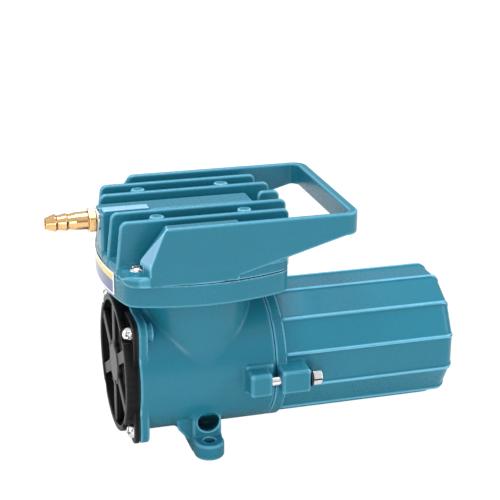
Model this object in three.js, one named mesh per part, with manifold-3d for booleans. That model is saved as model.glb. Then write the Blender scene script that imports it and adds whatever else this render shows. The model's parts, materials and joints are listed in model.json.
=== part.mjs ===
// Air pump: a 12 V piston pump with a finned head and carrying handle, a ribbed motor cap,
// a vented front cover and a brass hose outlet. Millimetres, +Z up, X along the motor shaft
// with the front cover at -X. The origin is on the floor plane, under the middle of the outer box.
import * as THREE from 'three';
import { mergeVertices } from 'three/addons/utils/BufferGeometryUtils.js';
import { ConvexGeometry } from 'three/addons/geometries/ConvexGeometry.js';
import Module from 'manifold-3d';

const wasm = await Module();
wasm.setup();

// Fits shared by all pieces
const seatGap = 0.15;
const fitGap = 0.3;
const overrun = 2;

// Round shapes: sides by size, and steps on an end's rounding
const sides = { large: 48, medium: 28, small: 16, tiny: 10 };
const endRoundSteps = 3;

// Crankcase barrel, its front flange and the seam to the motor cap
const shaftHeight = 44.5;
const barrelRadius = 38.5;
const barrelWall = 4.5;
const coverSeatX = -36.6;
const seamX = 38;
const mouthFlange = { thickness: 5, inset: 3, cornerRadius: 7, bossRadius: 5, bossLength: 11 };
const coverScrew = { inset: 7, radius: 1.9, headRadius: 4, headHeight: 2.6, length: 7.5 };

// Bearing web inside the crankcase
const web = { frontX: 14, thickness: 5, holeRadius: 12, bossRadius: 19 };
const frontBearing = { x: 17, width: 9, outer: 15, inner: 5, ringWall: 2.6 };

// Neck and round-cornered flange that carry the head
const neck = { wallX: 6, wallY: 13.1, power: 2.2, points: 32 };
const flange = { top: 60, thickness: 12, lugInset: 1.2, lengthExtra: 1.6, bowRadius: 113, cornerRadius: 10 };

// Feet under the barrel
const foot = {
  x: 1, width: 16.4, tabThickness: 8.8, tabReach: 44.5, blockReach: 32, innerReach: 13, blockTop: -18.5,
  screwHoleRadius: 3.3, coreRadius: 6.1, coreDrop: 28.3, coreDepth: 12,
  coreShift: 0.9, gussetTopX: -15, gussetTop: -26, gussetReach: 29,
};

// Lugs and bolts that join motor cap and crankcase
const lug = {
  overhang: 11, halfHeight: 6.6, drop: 1, frontX: 20.7, frontLength: 12.3, rearLength: 16.2,
  padLength: 16, padOverhang: 2.1, padRise: 1.6,
};
const motorBolt = {
  radius: 2.5, standOff: 6, headAcrossFlats: 8, headHeight: 5, threadDepth: 9,
  washerRadius: 5.2, washerThickness: 1.4,
};

// Cylinder head, fins, wings and handle
const head = { baseThickness: 6, top: 92 };
const fin = { sideInset: 16.7, perSide: 2, thickness: 3, cornerRadius: 3.5, inset: 0.3 };
const duct = {
  halfWidth: 8, top: 89.5, rearX: 31, rearSlope: 5, padSetback: 1.4, padLength: 24.8, padInner: 0.9, padOuter: 7.6,
  padRise: 1,
};
const rearFin = { length: 9 };
const wing = {
  overhang: 0.2, thickness: 3, frontTopX: -23.1, frontBaseX: -37, ledge: 3, ledgeDrop: 0.3, ledgeRearX: 14.5,
  bevelDepth: 6.5, bevelBaseX: -32.6, bevelFoot: 73.6, bevelBreak: 72, apexShift: 2.1, apexDrop: 1.4, lowerStartX: 6,
};
const handle = { rearX: 80, thickness: 5, height: 12.4, cornerRadius: 8 };
const post = {
  plateShift: 3.5, pitchShare: 1.5, radius: 5, headRadius: 4.2, headHeight: 3.4, top: 87.4, boltRadius: 2.5,
  holeFloor: 2,
};
const cornerScrew = { inset: 10.7, radius: 2, headRadius: 4, headHeight: 2.6, depth: 13 };

// Outlet port and brass barb
const outlet = {
  z: 83.5, portRadius: 4.8, threadLength: 8, boreRadius: 2.6, hexAcrossFlats: 12.5, hexLength: 4.1,
  washerRadius: 7, washerThickness: 1.3, barbLength: 22.5, tipRadius: 2.9, valleyRadius: 4,
  ridgeRadius: 4.75, ridgeCount: 2, shankRadius: 4.9,
};
const valveChamber = { halfWidth: 6, halfLength: 24, top: 76, riserX: -18, riserRadius: 3.4 };

// Gasket, valve plate and reeds
const gasket = { thickness: 0.8 };
const valvePlate = { radius: 27, thickness: 2.8 };
// A reed tips up about its screw, so it has play below and above
const reedPlay = 0.3;
const reedLift = 3;
const reed = {
  halfWidth: 4.6, thickness: 0.4, freeX: -17, tailLength: 3, screwX: 11,
  portRadius: 1.8, portCount: 3, portPitch: 5, portFirstX: -13,
};
const reedStop = { thickness: 0.8 };
const reedScrew = { radius: 1.5, headRadius: 2.9, headHeight: 1.6 };

// Cylinder liner, piston and rod
const bore = { radius: 22, linerWall: 2.5, linerLength: 22 };
const crankThrow = 3;
const rod = {
  bigEndWall: 4, halfWidth: 5.5, crownTop: 51, crownThickness: 4, stemHalfX: 4, stemHalfY: 8,
  stemTopHalfY: 11,
};
const cup = { thickness: 1.5, lipHeight: 2.8, lipThickness: 1.1 };
const retainer = { radius: 18, thickness: 2 };
const pistonScrew = { radius: 2.4, headRadius: 4.2, headHeight: 1.4, depth: 12 };
const intakeReed = {
  halfWidth: 4.6, thickness: 0.4, freeX: -15, tailLength: 4.5,
  portRadius: 1.8, portCount: 2, portPitch: 4, portFirstX: -13,
};

// Big-end bearing: the races leave room between them for the cage
const bigEnd = {
  pinRadius: 7.5, innerRace: 10, outerRaceInner: 14.8, outerRace: 17.2, cageWall: 1.2, cageHalf: 3.5,
};
const eccentric = { hubRadius: 12.5, hubX: 6.4, hubLength: 7, weightGap: 4, weightHalfAngle: 55 };

// Motor
const capWall = 3.4;
const cap = {
  collarLength: 6, ribCount: 12, ribInset: 0.2, facetInset: 1.8, ribFootHalf: 1.9, ribTopHalf: 0.9,
  length: 106, endTaper: 0.9, endRound: 7, endWall: 5,
};
const shaft = { radius: 5, rearRadius: 4, frontX: 7.4 };
const rearBearing = { width: 7, outer: 11, inner: 4, ringWall: 2.2, pocketWall: 3 };
const yoke = { wall: 2.4, frontX: 44, rearGap: 3.7 };
const magnet = { thickness: 4.6, length: 52, halfAngle: 58 };
const armature = {
  airGap: 0.8, length: 48, centreX: 78, slots: 12, slotHalf: 1.2, slotDepth: 8, slotMouth: 2.2,
};
const winding = { length: 9, innerShare: 0.45, inset: 4.9 };
const commutator = { radius: 11, length: 12, gap: 2.5 };
const brush = { halfWidth: 3, halfLength: 4, springRoom: 3, holderWall: 0.9, holderGap: 4.1 };
const brushPlate = { thickness: 2, innerRadius: 13.5 };

// Front cover, filter and centre disc
const cover = {
  plateThickness: 3, ringInset: 0.5, ringWall: 3.2, depth: 7.5, grilleDepth: 2.2, grilleInset: 0.8,
  spokeCount: 6, spokeHalf: 2.4, hubRadius: 12, discRadius: 10.2, discThickness: 0.8,
  midRingRadius: 22.5, midRingHalf: 1.3,
};
const filter = { thickness: 7 };

// Name label, bare, wrapped round the flange's front
const label = { bottom: 50.3, height: 12.4, thickness: 0.4, halfWidth: 26 };

// Cable entry in the cap's end
const grommet = { radius: 5, lipRadius: 7, lipThickness: 2, boreRadius: 2.6, inset: 14.7 };

// Finishes
const finish = (colour, roughness, metalness) => ({ color: colour, roughness, metalness });
const paint = finish(0x3f8aa3, 0.35, 0.1);
const blackPlastic = finish(0x17181a, 0.5, 0);
const greyPlastic = finish(0x8e9092, 0.5, 0);
const chrome = finish(0xd8dadd, 0.2, 1);
const steel = finish(0x9da1a5, 0.35, 1);
const brass = finish(0xc9a250, 0.3, 1);
const copper = finish(0xb0643a, 0.4, 1);
const rubber = finish(0x1b1b1c, 0.8, 0);
const whitePlastic = finish(0xe9e9e4, 0.5, 0);
const graphite = finish(0x2c2c2e, 0.7, 0.2);
const ferrite = finish(0x35363a, 0.8, 0);
const aluminium = finish(0xb9bcc0, 0.4, 1);
const foam = finish(0x3c3d3a, 0.95, 0);
const labelFilm = finish(0xf2e9a0, 0.4, 0);

// Turns a closed geometry into a solid, with its faces pointing out
function solid(geometry) {
  const bare = geometry.index ? geometry.toNonIndexed() : geometry.clone();
  bare.deleteAttribute('normal');
  bare.deleteAttribute('uv');
  const merged = mergeVertices(bare);
  const points = merged.attributes.position.array;
  const corners = merged.index.array;
  const kept = [];
  let volume = 0;
  const a = new THREE.Vector3();
  const b = new THREE.Vector3();
  const c = new THREE.Vector3();
  for (let i = 0; i < corners.length; i += 3) {
    const [p, q, r] = [corners[i], corners[i + 1], corners[i + 2]];
    if (p === q || q === r || r === p) continue;
    a.fromArray(points, p * 3);
    b.fromArray(points, q * 3);
    c.fromArray(points, r * 3);
    volume += a.dot(b.cross(c));
    kept.push([p, q, r]);
  }
  const triVerts = kept.flatMap(([p, q, r]) => (volume < 0 ? [p, r, q] : [p, q, r]));
  return new wasm.Manifold(new wasm.Mesh({
    numProp: 3, vertProperties: Float32Array.from(points), triVerts: Uint32Array.from(triVerts),
  }));
}

const joined = (first, ...others) => others.reduce((whole, other) => whole.add(other), first);
const cut = (first, ...others) => others.reduce((whole, other) => whole.subtract(other), first);

function block(x0, x1, y0, y1, z0, z1) {
  const box = new THREE.BoxGeometry(x1 - x0, y1 - y0, z1 - z0);
  return solid(box.translate((x0 + x1) / 2, (y0 + y1) / 2, (z0 + z1) / 2));
}

// A turned body: profile points are [place along the axis, radius]
function lathe(profile, count) {
  return new THREE.LatheGeometry(profile.map(([along, radius]) => new THREE.Vector2(radius, along)), count);
}
const turnedX = (profile, count) => solid(lathe(profile, count).rotateZ(-Math.PI / 2));
function turnedZ(profile, count, x = 0, y = 0) {
  return solid(lathe(profile, count).rotateX(Math.PI / 2).translate(x, y, 0));
}

const rodProfile = (from, to, radius) => [[from, 0], [from, radius], [to, radius], [to, 0]];
const ringProfile = (from, to, inner, outer) => [
  [from, inner], [from, outer], [to, outer], [to, inner], [from, inner],
];
const rodX = (x0, x1, radius, count, y = 0, z = 0) => turnedX(rodProfile(x0, x1, radius),
  count).translate([0, y, z]);
const rodZ = (z0, z1, radius, count, x = 0, y = 0) => turnedZ(rodProfile(z0, z1, radius), count, x, y);
const ringX = (x0, x1, inner, outer, count) => turnedX(ringProfile(x0, x1, inner, outer), count);
const ringZ = (z0, z1, inner, outer, count) => turnedZ(ringProfile(z0, z1, inner, outer), count);

// Extrusions of a flat outline along each axis
const curveSteps = 3;
const extruded = (shape, depth) => new THREE.ExtrudeGeometry(shape, {
  depth, bevelEnabled: false, curveSegments: curveSteps,
});
const axisX = new THREE.Vector3(1, 0, 0);
const axisY = new THREE.Vector3(0, 1, 0);
const axisZ = new THREE.Vector3(0, 0, 1);
function alongX(shape, x0, x1) {
  const turn = new THREE.Matrix4().makeBasis(axisY, axisZ, axisX);
  return solid(extruded(shape, x1 - x0).applyMatrix4(turn).translate(x0, 0, 0));
}
function alongY(shape, y0, y1) {
  const turn = new THREE.Matrix4().makeBasis(axisX, axisZ, axisY.clone().negate());
  return solid(extruded(shape, y1 - y0).applyMatrix4(turn).translate(0, y1, 0));
}
const alongZ = (shape, z0, z1) => solid(extruded(shape, z1 - z0).translate(0, 0, z0));

const outline = (points) => new THREE.Shape(points.map(([x, y]) => new THREE.Vector2(x, y)));
const hull = (points) => solid(new ConvexGeometry(points.map((point) => new THREE.Vector3(...point))));

function roundedSquare(halfX, halfY, radius) {
  const shape = new THREE.Shape();
  shape.moveTo(halfX, radius - halfY);
  shape.absarc(halfX - radius, halfY - radius, radius, 0, Math.PI / 2);
  shape.absarc(radius - halfX, halfY - radius, radius, Math.PI / 2, Math.PI);
  shape.absarc(radius - halfX, radius - halfY, radius, Math.PI, Math.PI * 1.5);
  shape.absarc(halfX - radius, radius - halfY, radius, Math.PI * 1.5, Math.PI * 2);
  return shape;
}

// Reaches that follow the barrel's radius
const cavityRadius = barrelRadius - barrelWall;
const lugReach = barrelRadius + lug.overhang;
const padReach = barrelRadius + lug.padOverhang;
const motorBoltReach = barrelRadius + motorBolt.standOff;
const flangeHalf = lugReach - flange.lugInset;
const flangeHalfX = flangeHalf + flange.lengthExtra;
const wingOuter = flangeHalf + wing.overhang;
const postReachX = valvePlate.radius - post.plateShift;
const finPitch = (flangeHalf - fin.sideInset) / fin.perSide;
const postReachY = finPitch * post.pitchShare;
const cornerScrewReach = flangeHalf - cornerScrew.inset;
const linerOuter = bore.radius + bore.linerWall;
const neckHalfX = linerOuter + neck.wallX;
const neckHalfY = linerOuter + neck.wallY;
const mouthHalf = barrelRadius - mouthFlange.inset;
const coverScrewReach = mouthHalf - coverScrew.inset;
const coverRingRadius = barrelRadius - cover.ringInset;
const ribRadius = barrelRadius - cap.ribInset;
const facetRadius = barrelRadius - cap.facetInset;
const grommetZ = grommet.inset - facetRadius;
const weightRadius = cavityRadius - eccentric.weightGap;

const bowShiftX = flangeHalfX - flange.bowRadius;
const bowShiftY = flangeHalf - flange.bowRadius;

// Centre of a corner's arc, equally far from the centres of both sides
function bowKnuckle() {
  const slack = flange.bowRadius - flange.cornerRadius;
  const half = Math.hypot(bowShiftX, bowShiftY) / 2;
  const share = Math.sqrt(slack ** 2 - half ** 2) / half;
  return { x: (bowShiftX - share * bowShiftY) / 2, y: (bowShiftY - share * bowShiftX) / 2 };
}

// A square with bowed sides and round corners, grown by an offset
function bowedSquare(grow) {
  const knuckle = bowKnuckle();
  const angleX = Math.atan2(knuckle.y, knuckle.x - bowShiftX);
  const angleY = Math.atan2(knuckle.x, knuckle.y - bowShiftY);
  const side = flange.bowRadius + grow;
  const turn = flange.cornerRadius + grow;
  const quarter = Math.PI / 2;
  const shape = new THREE.Shape();
  shape.absarc(bowShiftX, 0, side, -angleX, angleX);
  shape.absarc(knuckle.x, knuckle.y, turn, angleX, quarter - angleY);
  shape.absarc(0, bowShiftY, side, quarter - angleY, quarter + angleY);
  shape.absarc(-knuckle.x, knuckle.y, turn, quarter + angleY, quarter * 2 - angleX);
  shape.absarc(-bowShiftX, 0, side, quarter * 2 - angleX, quarter * 2 + angleX);
  shape.absarc(-knuckle.x, -knuckle.y, turn, quarter * 2 + angleX, quarter * 3 - angleY);
  shape.absarc(0, -bowShiftY, side, quarter * 3 - angleY, quarter * 3 + angleY);
  shape.absarc(knuckle.x, -knuckle.y, turn, quarter * 3 + angleY, quarter * 4 - angleX);
  return shape;
}

// How far the bowed side reaches in X at a given Y
const bowReach = (y) => bowShiftX + Math.sqrt(flange.bowRadius ** 2 - y ** 2);

function superEllipse(halfX, halfY, power, count) {
  const points = [];
  for (let i = 0; i < count; i += 1) {
    const angle = (i / count) * Math.PI * 2;
    const [c, s] = [Math.cos(angle), Math.sin(angle)];
    points.push([halfX * Math.sign(c) * Math.abs(c) ** (2 / power),
      halfY * Math.sign(s) * Math.abs(s) ** (2 / power)]);
  }
  return outline(points);
}

const hexSides = 6;
const hexPrism = (x0, x1, acrossFlats) => rodX(x0, x1, acrossFlats / Math.sqrt(3), hexSides);

// Levels worked out from the sizes above, from the shaft's axis
const floorLevel = -shaftHeight;
const flangeBottom = flange.top - flange.thickness;
const gasketBottom = flange.top + seatGap;
const headBottom = gasketBottom + gasket.thickness + seatGap;
const baseTop = headBottom + head.baseThickness;
const plateTop = headBottom + valvePlate.thickness;
const linerBottom = flange.top - bore.linerLength;
const lugRearX = seamX + fitGap;
const lugEndX = lugRearX + lug.rearLength;
const capEndX = seamX + cap.length;
const coverBack = coverSeatX - seatGap;
const coverFront = coverBack - cover.depth;
const coverScrewSeat = coverBack - cover.plateThickness - fitGap;
const signs = [-1, 1];
const sideName = (sign) => (sign < 0 ? 'near' : 'far');
const corners = [[-1, -1], [1, -1], [1, 1], [-1, 1]];

function buildFoot(sign) {
  const half = foot.width / 2;
  const tab = joined(
    block(foot.x - half, foot.x + half, foot.innerReach, foot.tabReach - half, floorLevel,
      floorLevel + foot.tabThickness),
    rodZ(floorLevel, floorLevel + foot.tabThickness, half, sides.medium, foot.x, foot.tabReach - half),
    block(foot.x - half, foot.x + half, foot.innerReach, foot.blockReach, floorLevel, foot.blockTop),
  );
  const gusset = alongY(outline([
    [foot.gussetTopX, foot.gussetTop], [foot.x, foot.gussetTop], [foot.x, floorLevel],
    [foot.x - half, floorLevel], [foot.x - half, floorLevel + foot.tabThickness / 2],
  ]), foot.innerReach, foot.gussetReach);
  const core = solid(new THREE.CylinderGeometry(foot.coreRadius, foot.coreRadius, foot.coreDepth + overrun,
    sides.small)
    .translate(foot.x + foot.coreShift, foot.blockReach + overrun / 2 - foot.coreDepth / 2,
      -foot.coreDrop));
  const screwHole = rodZ(floorLevel - overrun, floorLevel + foot.tabThickness + overrun,
    foot.screwHoleRadius, sides.small, foot.x, foot.tabReach - half);
  const whole = cut(joined(tab, gusset), core, screwHole);
  return sign > 0 ? whole : whole.mirror([0, 1, 0]);
}

const lugBlock = (sign, x0, x1) => {
  const inner = cavityRadius + barrelWall / 2;
  const [y0, y1] = sign < 0 ? [-lugReach, -inner] : [inner, lugReach];
  return block(x0, x1, y0, y1, -lug.drop - lug.halfHeight, lug.halfHeight - lug.drop);
};

function buildCrankcase() {
  const barrel = rodX(coverSeatX, seamX, barrelRadius, sides.large);
  const mouthEnd = coverSeatX + mouthFlange.thickness;
  const mouth = joined(
    alongX(roundedSquare(mouthHalf, mouthHalf, mouthFlange.cornerRadius), coverSeatX, mouthEnd),
    rodX(coverSeatX, mouthEnd, coverRingRadius, sides.large),
  );
  const neckBody = alongZ(superEllipse(neckHalfX, neckHalfY, neck.power, neck.points), 0,
    flangeBottom + overrun);
  const top = alongZ(bowedSquare(0), flangeBottom, flange.top);
  let body = joined(barrel, mouth, neckBody, top, ...signs.map(buildFoot));
  for (const sign of signs) {
    body = body.add(rodX(mouthEnd - overrun, mouthEnd + mouthFlange.bossLength, mouthFlange.bossRadius,
      sides.tiny, sign * coverScrewReach, coverScrewReach));
  }
  for (const sign of signs) {
    const padInner = cavityRadius + barrelWall / 2;
    const [y0, y1] = sign < 0 ? [-padReach, -padInner] : [padInner, padReach];
    const padHalf = lug.halfHeight + lug.padRise;
    body = joined(body, lugBlock(sign, lug.frontX, lug.frontX + lug.frontLength),
      block(seamX - lug.padLength - lug.padRise, seamX - lug.padRise, y0, y1, -lug.drop - padHalf,
        padHalf - lug.drop));
  }
  // Hollows: crank chamber, motor mouth, liner bore, bearing seat and shaft hole
  const webRear = web.frontX + web.thickness;
  const crankChamber = rodX(coverSeatX - overrun, web.frontX, cavityRadius, sides.large);
  const motorMouth = cut(rodX(webRear, seamX + overrun, cavityRadius, sides.large),
    rodX(webRear - overrun, frontBearing.x + frontBearing.width + seatGap, web.bossRadius, sides.medium));
  body = cut(body, crankChamber, motorMouth,
    rodZ(linerBottom - fitGap, flange.top + overrun, linerOuter + fitGap, sides.large),
    rodZ(0, flange.top, bore.radius + fitGap, sides.large),
    rodX(web.frontX - overrun, webRear + overrun, web.holeRadius, sides.medium),
    rodX(frontBearing.x, seamX, frontBearing.outer + fitGap, sides.medium));
  // Screw holes
  for (const [v, w] of corners) {
    const coverHole = rodX(coverSeatX - overrun, coverScrewSeat + coverScrew.length + fitGap,
      coverScrew.radius + fitGap, sides.tiny, v * coverScrewReach, w * coverScrewReach);
    const cornerHole = rodZ(flangeBottom - overrun, flange.top + overrun, cornerScrew.radius + fitGap,
      sides.tiny, v * cornerScrewReach, w * cornerScrewReach);
    const postHole = rodZ(flangeBottom + post.holeFloor, flange.top + overrun, post.boltRadius + fitGap,
      sides.tiny, v * postReachX, w * postReachY);
    body = cut(body, coverHole, cornerHole, postHole);
  }
  for (const sign of signs) {
    const lugEnd = lug.frontX + lug.frontLength;
    body = body.subtract(rodX(lugEnd - motorBolt.threadDepth - fitGap, seamX + overrun,
      motorBolt.radius + fitGap, sides.tiny, sign * motorBoltReach, -lug.drop));
  }
  return body;
}

// One flat-sided fin with round top corners, from x0 to x1 at a given Y
function finPlate(x0, x1, y, thickness, top, rearRadius) {
  const r = fin.cornerRadius;
  const shape = new THREE.Shape();
  shape.moveTo(x0, headBottom);
  shape.lineTo(x1, headBottom);
  shape.lineTo(x1, top - rearRadius);
  shape.absarc(x1 - rearRadius, top - rearRadius, rearRadius, 0, Math.PI / 2);
  shape.absarc(x0 + r, top - r, r, Math.PI / 2, Math.PI);
  return alongY(shape, y - thickness / 2, y + thickness / 2);
}

function buildFins() {
  const whole = [];
  for (const step of [-2, -1, 1, 2]) {
    const y = step * finPitch;
    const reach = bowReach(y) - fin.inset;
    whole.push(finPlate(-reach, reach, y, fin.thickness, head.top, fin.cornerRadius));
  }
  const rearEnd = bowReach(0) - fin.inset;
  whole.push(finPlate(rearEnd - rearFin.length, rearEnd, 0, fin.thickness, head.top, fin.cornerRadius));
  return joined(...whole);
}

function buildDuct() {
  const frontX = -bowReach(0);
  const side = outline([
    [frontX, baseTop - overrun], [duct.rearX + duct.rearSlope, baseTop - overrun],
    [duct.rearX + duct.rearSlope, baseTop],
    [duct.rearX, duct.top], [frontX + duct.padSetback + duct.padLength, duct.top], [frontX, duct.top],
  ]);
  const body = alongY(side, -duct.halfWidth, duct.halfWidth);
  const padX = frontX + duct.padSetback;
  const pad = block(padX, padX + duct.padLength, -duct.padOuter, -duct.padInner, baseTop, duct.top + duct.padRise);
  return body.add(pad);
}

// Side wall of the head, drawn out to the rear as one arm of the handle
function buildWing(sign) {
  const inner = wingOuter - wing.thickness;
  const rearBottom = head.top - handle.height;
  const wall = alongY(outline([
    [wing.bevelBaseX, headBottom], [wing.lowerStartX, headBottom],
    [handle.rearX - handle.cornerRadius, rearBottom],
    [handle.rearX - handle.cornerRadius, head.top], [wing.frontTopX, head.top],
  ]), inner, wingOuter);
  const ledgeTop = head.top - wing.ledgeDrop;
  const ledgeInner = inner - wing.ledge;
  const ledge = alongY(outline([
    [wing.frontTopX, baseTop - overrun], [wing.ledgeRearX, baseTop - overrun], [wing.ledgeRearX, ledgeTop],
    [wing.frontTopX, ledgeTop],
  ]), ledgeInner, inner + overrun / 2);
  const bevelInner = wingOuter - wing.bevelDepth;
  const bevel = hull([
    [wing.frontTopX, bevelInner, head.top], [wing.frontTopX, wingOuter, head.top],
    [wing.frontTopX - wing.apexShift, wingOuter, head.top - wing.apexDrop],
    [wing.bevelBaseX, wingOuter, wing.bevelBreak], [wing.bevelBaseX, wingOuter, headBottom],
    [wing.frontBaseX, bevelInner, wing.bevelFoot], [wing.frontBaseX, bevelInner, baseTop - overrun],
    [wing.frontTopX, bevelInner, baseTop - overrun], [wing.frontTopX, wingOuter, headBottom],
  ]);
  // The near wall is thicker in front, up to the ledge's end
  return sign > 0 ? wall.add(bevel) : joined(wall, ledge, bevel).mirror([0, 1, 0]);
}

function buildHandleBar() {
  const outer = roundedSquare(handle.rearX, wingOuter, handle.cornerRadius);
  const inner = roundedSquare(handle.rearX - handle.thickness, wingOuter - wing.thickness,
    handle.cornerRadius - wing.thickness);
  const frame = cut(alongZ(outer, head.top - handle.height, head.top),
    alongZ(inner, head.top - handle.height - overrun, head.top + overrun));
  const rearHalf = block(handle.rearX - handle.cornerRadius - handle.thickness, handle.rearX + overrun,
    -wingOuter - overrun, wingOuter + overrun, head.top - handle.height - overrun, head.top + overrun);
  return frame.intersect(rearHalf);
}

function buildHead() {
  const frontX = -bowReach(0);
  let body = joined(alongZ(bowedSquare(0), headBottom, baseTop), buildFins(), buildDuct(),
    ...signs.map(buildWing), buildHandleBar());
  for (const [v, w] of corners) {
    body = body.add(rodZ(headBottom, post.top, post.radius, sides.small, v * postReachX, w * postReachY));
  }
  const chamber = block(-valveChamber.halfLength, valveChamber.halfLength,
    -valveChamber.halfWidth, valveChamber.halfWidth, headBottom, valveChamber.top);
  body = cut(body, chamber,
    rodZ(headBottom - overrun, plateTop + fitGap, valvePlate.radius + fitGap, sides.large),
    rodZ(valveChamber.top - overrun, outlet.z, valveChamber.riserRadius, sides.tiny, valveChamber.riserX,
      0),
    rodX(frontX - overrun, valveChamber.riserX, valveChamber.riserRadius, sides.tiny, 0, outlet.z),
    rodX(frontX - overrun, frontX + outlet.threadLength + fitGap, outlet.portRadius + fitGap, sides.small,
      0, outlet.z));
  for (const [v, w] of corners) {
    const cornerHole = rodZ(headBottom - overrun, baseTop + overrun, cornerScrew.radius + fitGap,
      sides.tiny, v * cornerScrewReach, w * cornerScrewReach);
    const postHole = rodZ(headBottom - overrun, post.top + overrun, post.boltRadius + fitGap,
      sides.tiny, v * postReachX, w * postReachY);
    body = cut(body, cornerHole, postHole);
  }
  return body;
}

function buildGasket() {
  let sheet = cut(alongZ(bowedSquare(-fitGap), gasketBottom, gasketBottom + gasket.thickness),
    rodZ(gasketBottom - overrun, headBottom + overrun, bore.radius + fitGap, sides.medium));
  for (const [v, w] of corners) {
    sheet = cut(sheet,
      rodZ(gasketBottom - overrun, headBottom + overrun, cornerScrew.radius + fitGap, sides.tiny,
        v * cornerScrewReach, w * cornerScrewReach),
      rodZ(gasketBottom - overrun, headBottom + overrun, post.boltRadius + fitGap, sides.tiny,
        v * postReachX, w * postReachY));
  }
  return sheet;
}

const portPlaces = (valve) => Array.from({ length: valve.portCount },
  (_, i) => valve.portFirstX + i * valve.portPitch);

function buildValvePlate() {
  let plate = rodZ(headBottom, plateTop, valvePlate.radius, sides.medium);
  for (const x of portPlaces(reed)) {
    plate = plate.subtract(rodZ(headBottom - overrun, plateTop + overrun, reed.portRadius, sides.tiny, x,
      0));
  }
  return plate.subtract(rodZ(headBottom - overrun, plateTop + overrun, reedScrew.radius + fitGap,
    sides.tiny, reed.screwX, 0));
}

const reedBottom = plateTop + reedPlay;
const reedTop = reedBottom + reed.thickness;
const reedTail = reed.screwX + reed.tailLength;

function buildExhaustReed() {
  return cut(block(reed.freeX, reedTail, -reed.halfWidth, reed.halfWidth, reedBottom, reedTop),
    rodZ(reedBottom - overrun, reedTop + overrun, reedScrew.radius + fitGap, sides.tiny, reed.screwX, 0));
}

// The stop lies along the reed where the reed is fully lifted
function buildReedStop() {
  const bottom = reedTop + reedPlay;
  const rise = (reed.screwX - reed.freeX) * Math.tan(THREE.MathUtils.degToRad(reedLift));
  const flatEnd = reed.screwX - reedScrew.headRadius - fitGap;
  const shape = outline([
    [reed.freeX, bottom + rise], [reed.screwX, bottom], [reedTail, bottom],
    [reedTail, bottom + reedStop.thickness], [flatEnd, bottom + reedStop.thickness],
    [reed.freeX, bottom + rise + reedStop.thickness],
  ]);
  return cut(alongY(shape, -reed.halfWidth, reed.halfWidth),
    rodZ(bottom - overrun, bottom + overrun, reedScrew.radius + fitGap, sides.tiny, reed.screwX, 0));
}

function buildReedScrew() {
  const seat = reedTop + reedPlay + reedStop.thickness + seatGap;
  return turnedZ([
    [headBottom, 0], [headBottom, reedScrew.radius], [seat, reedScrew.radius], [seat, reedScrew.headRadius],
    [seat + reedScrew.headHeight, reedScrew.headRadius], [seat + reedScrew.headHeight, 0],
  ], sides.tiny, reed.screwX, 0);
}

const buildLiner = () => ringZ(linerBottom, flange.top, bore.radius, linerOuter, sides.medium);

// Rod, piston and big end stand at bottom dead centre, one throw below the shaft
const pinZ = -crankThrow;
const bigEndOuter = bigEnd.outerRace + fitGap + rod.bigEndWall;
const crownTop = rod.crownTop - crankThrow;
const cupBottom = crownTop + seatGap;
const retainerBottom = cupBottom + cup.thickness + seatGap;
const retainerTop = retainerBottom + retainer.thickness;
const pistonRadius = bore.radius - fitGap;

function buildRod() {
  const bigEndRing = ringX(-rod.halfWidth, rod.halfWidth, bigEnd.outerRace + fitGap, bigEndOuter,
    sides.medium)
    .translate([0, 0, pinZ]);
  const crown = rodZ(crownTop - rod.crownThickness, crownTop, pistonRadius, sides.medium);
  const stemBottom = pinZ + bigEnd.outerRace + fitGap + rod.bigEndWall / 2;
  const stem = alongX(outline([
    [-rod.stemHalfY, stemBottom], [rod.stemHalfY, stemBottom],
    [rod.stemHalfY, crownTop - rod.crownThickness * 2],
    [rod.stemTopHalfY, crownTop - rod.crownThickness / 2],
    [-rod.stemTopHalfY, crownTop - rod.crownThickness / 2],
    [-rod.stemHalfY, crownTop - rod.crownThickness * 2],
  ]), -rod.stemHalfX, rod.stemHalfX);
  let body = joined(crown, stem, bigEndRing);
  body = body.subtract(rodZ(crownTop - pistonScrew.depth, crownTop + overrun, pistonScrew.radius + fitGap,
    sides.tiny));
  for (const x of portPlaces(intakeReed)) {
    body = body.subtract(rodZ(crownTop - rod.crownThickness - overrun, crownTop + overrun,
      intakeReed.portRadius, sides.tiny, x, 0));
  }
  return body;
}

function buildCup() {
  const lipTop = cupBottom + cup.thickness + cup.lipHeight;
  const lipInner = pistonRadius - cup.lipThickness;
  const inner = retainer.radius - retainer.thickness - fitGap;
  return turnedZ([
    [cupBottom, inner], [cupBottom, pistonRadius], [lipTop, pistonRadius], [lipTop, lipInner],
    [cupBottom + cup.thickness, lipInner], [cupBottom + cup.thickness, inner], [cupBottom, inner],
  ], sides.medium);
}

function buildRetainer() {
  const spigot = retainer.radius - retainer.thickness - fitGap * 2;
  let plate = turnedZ([
    [cupBottom, 0], [cupBottom, spigot], [retainerBottom, spigot], [retainerBottom, retainer.radius],
    [retainerTop, retainer.radius], [retainerTop, 0],
  ], sides.medium);
  for (const x of portPlaces(intakeReed)) {
    plate = plate.subtract(rodZ(cupBottom - overrun, retainerTop + overrun, intakeReed.portRadius,
      sides.tiny, x, 0));
  }
  return plate.subtract(rodZ(cupBottom - overrun, retainerTop + overrun, pistonScrew.radius + fitGap,
    sides.tiny));
}

const intakeBottom = retainerTop + reedPlay;
const intakeTop = intakeBottom + intakeReed.thickness;

function buildIntakeReed() {
  const strip = block(intakeReed.freeX, intakeReed.tailLength, -intakeReed.halfWidth, intakeReed.halfWidth,
    intakeBottom, intakeTop);
  return strip.subtract(rodZ(intakeBottom - overrun, intakeTop + overrun, pistonScrew.radius + fitGap,
    sides.tiny));
}

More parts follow.
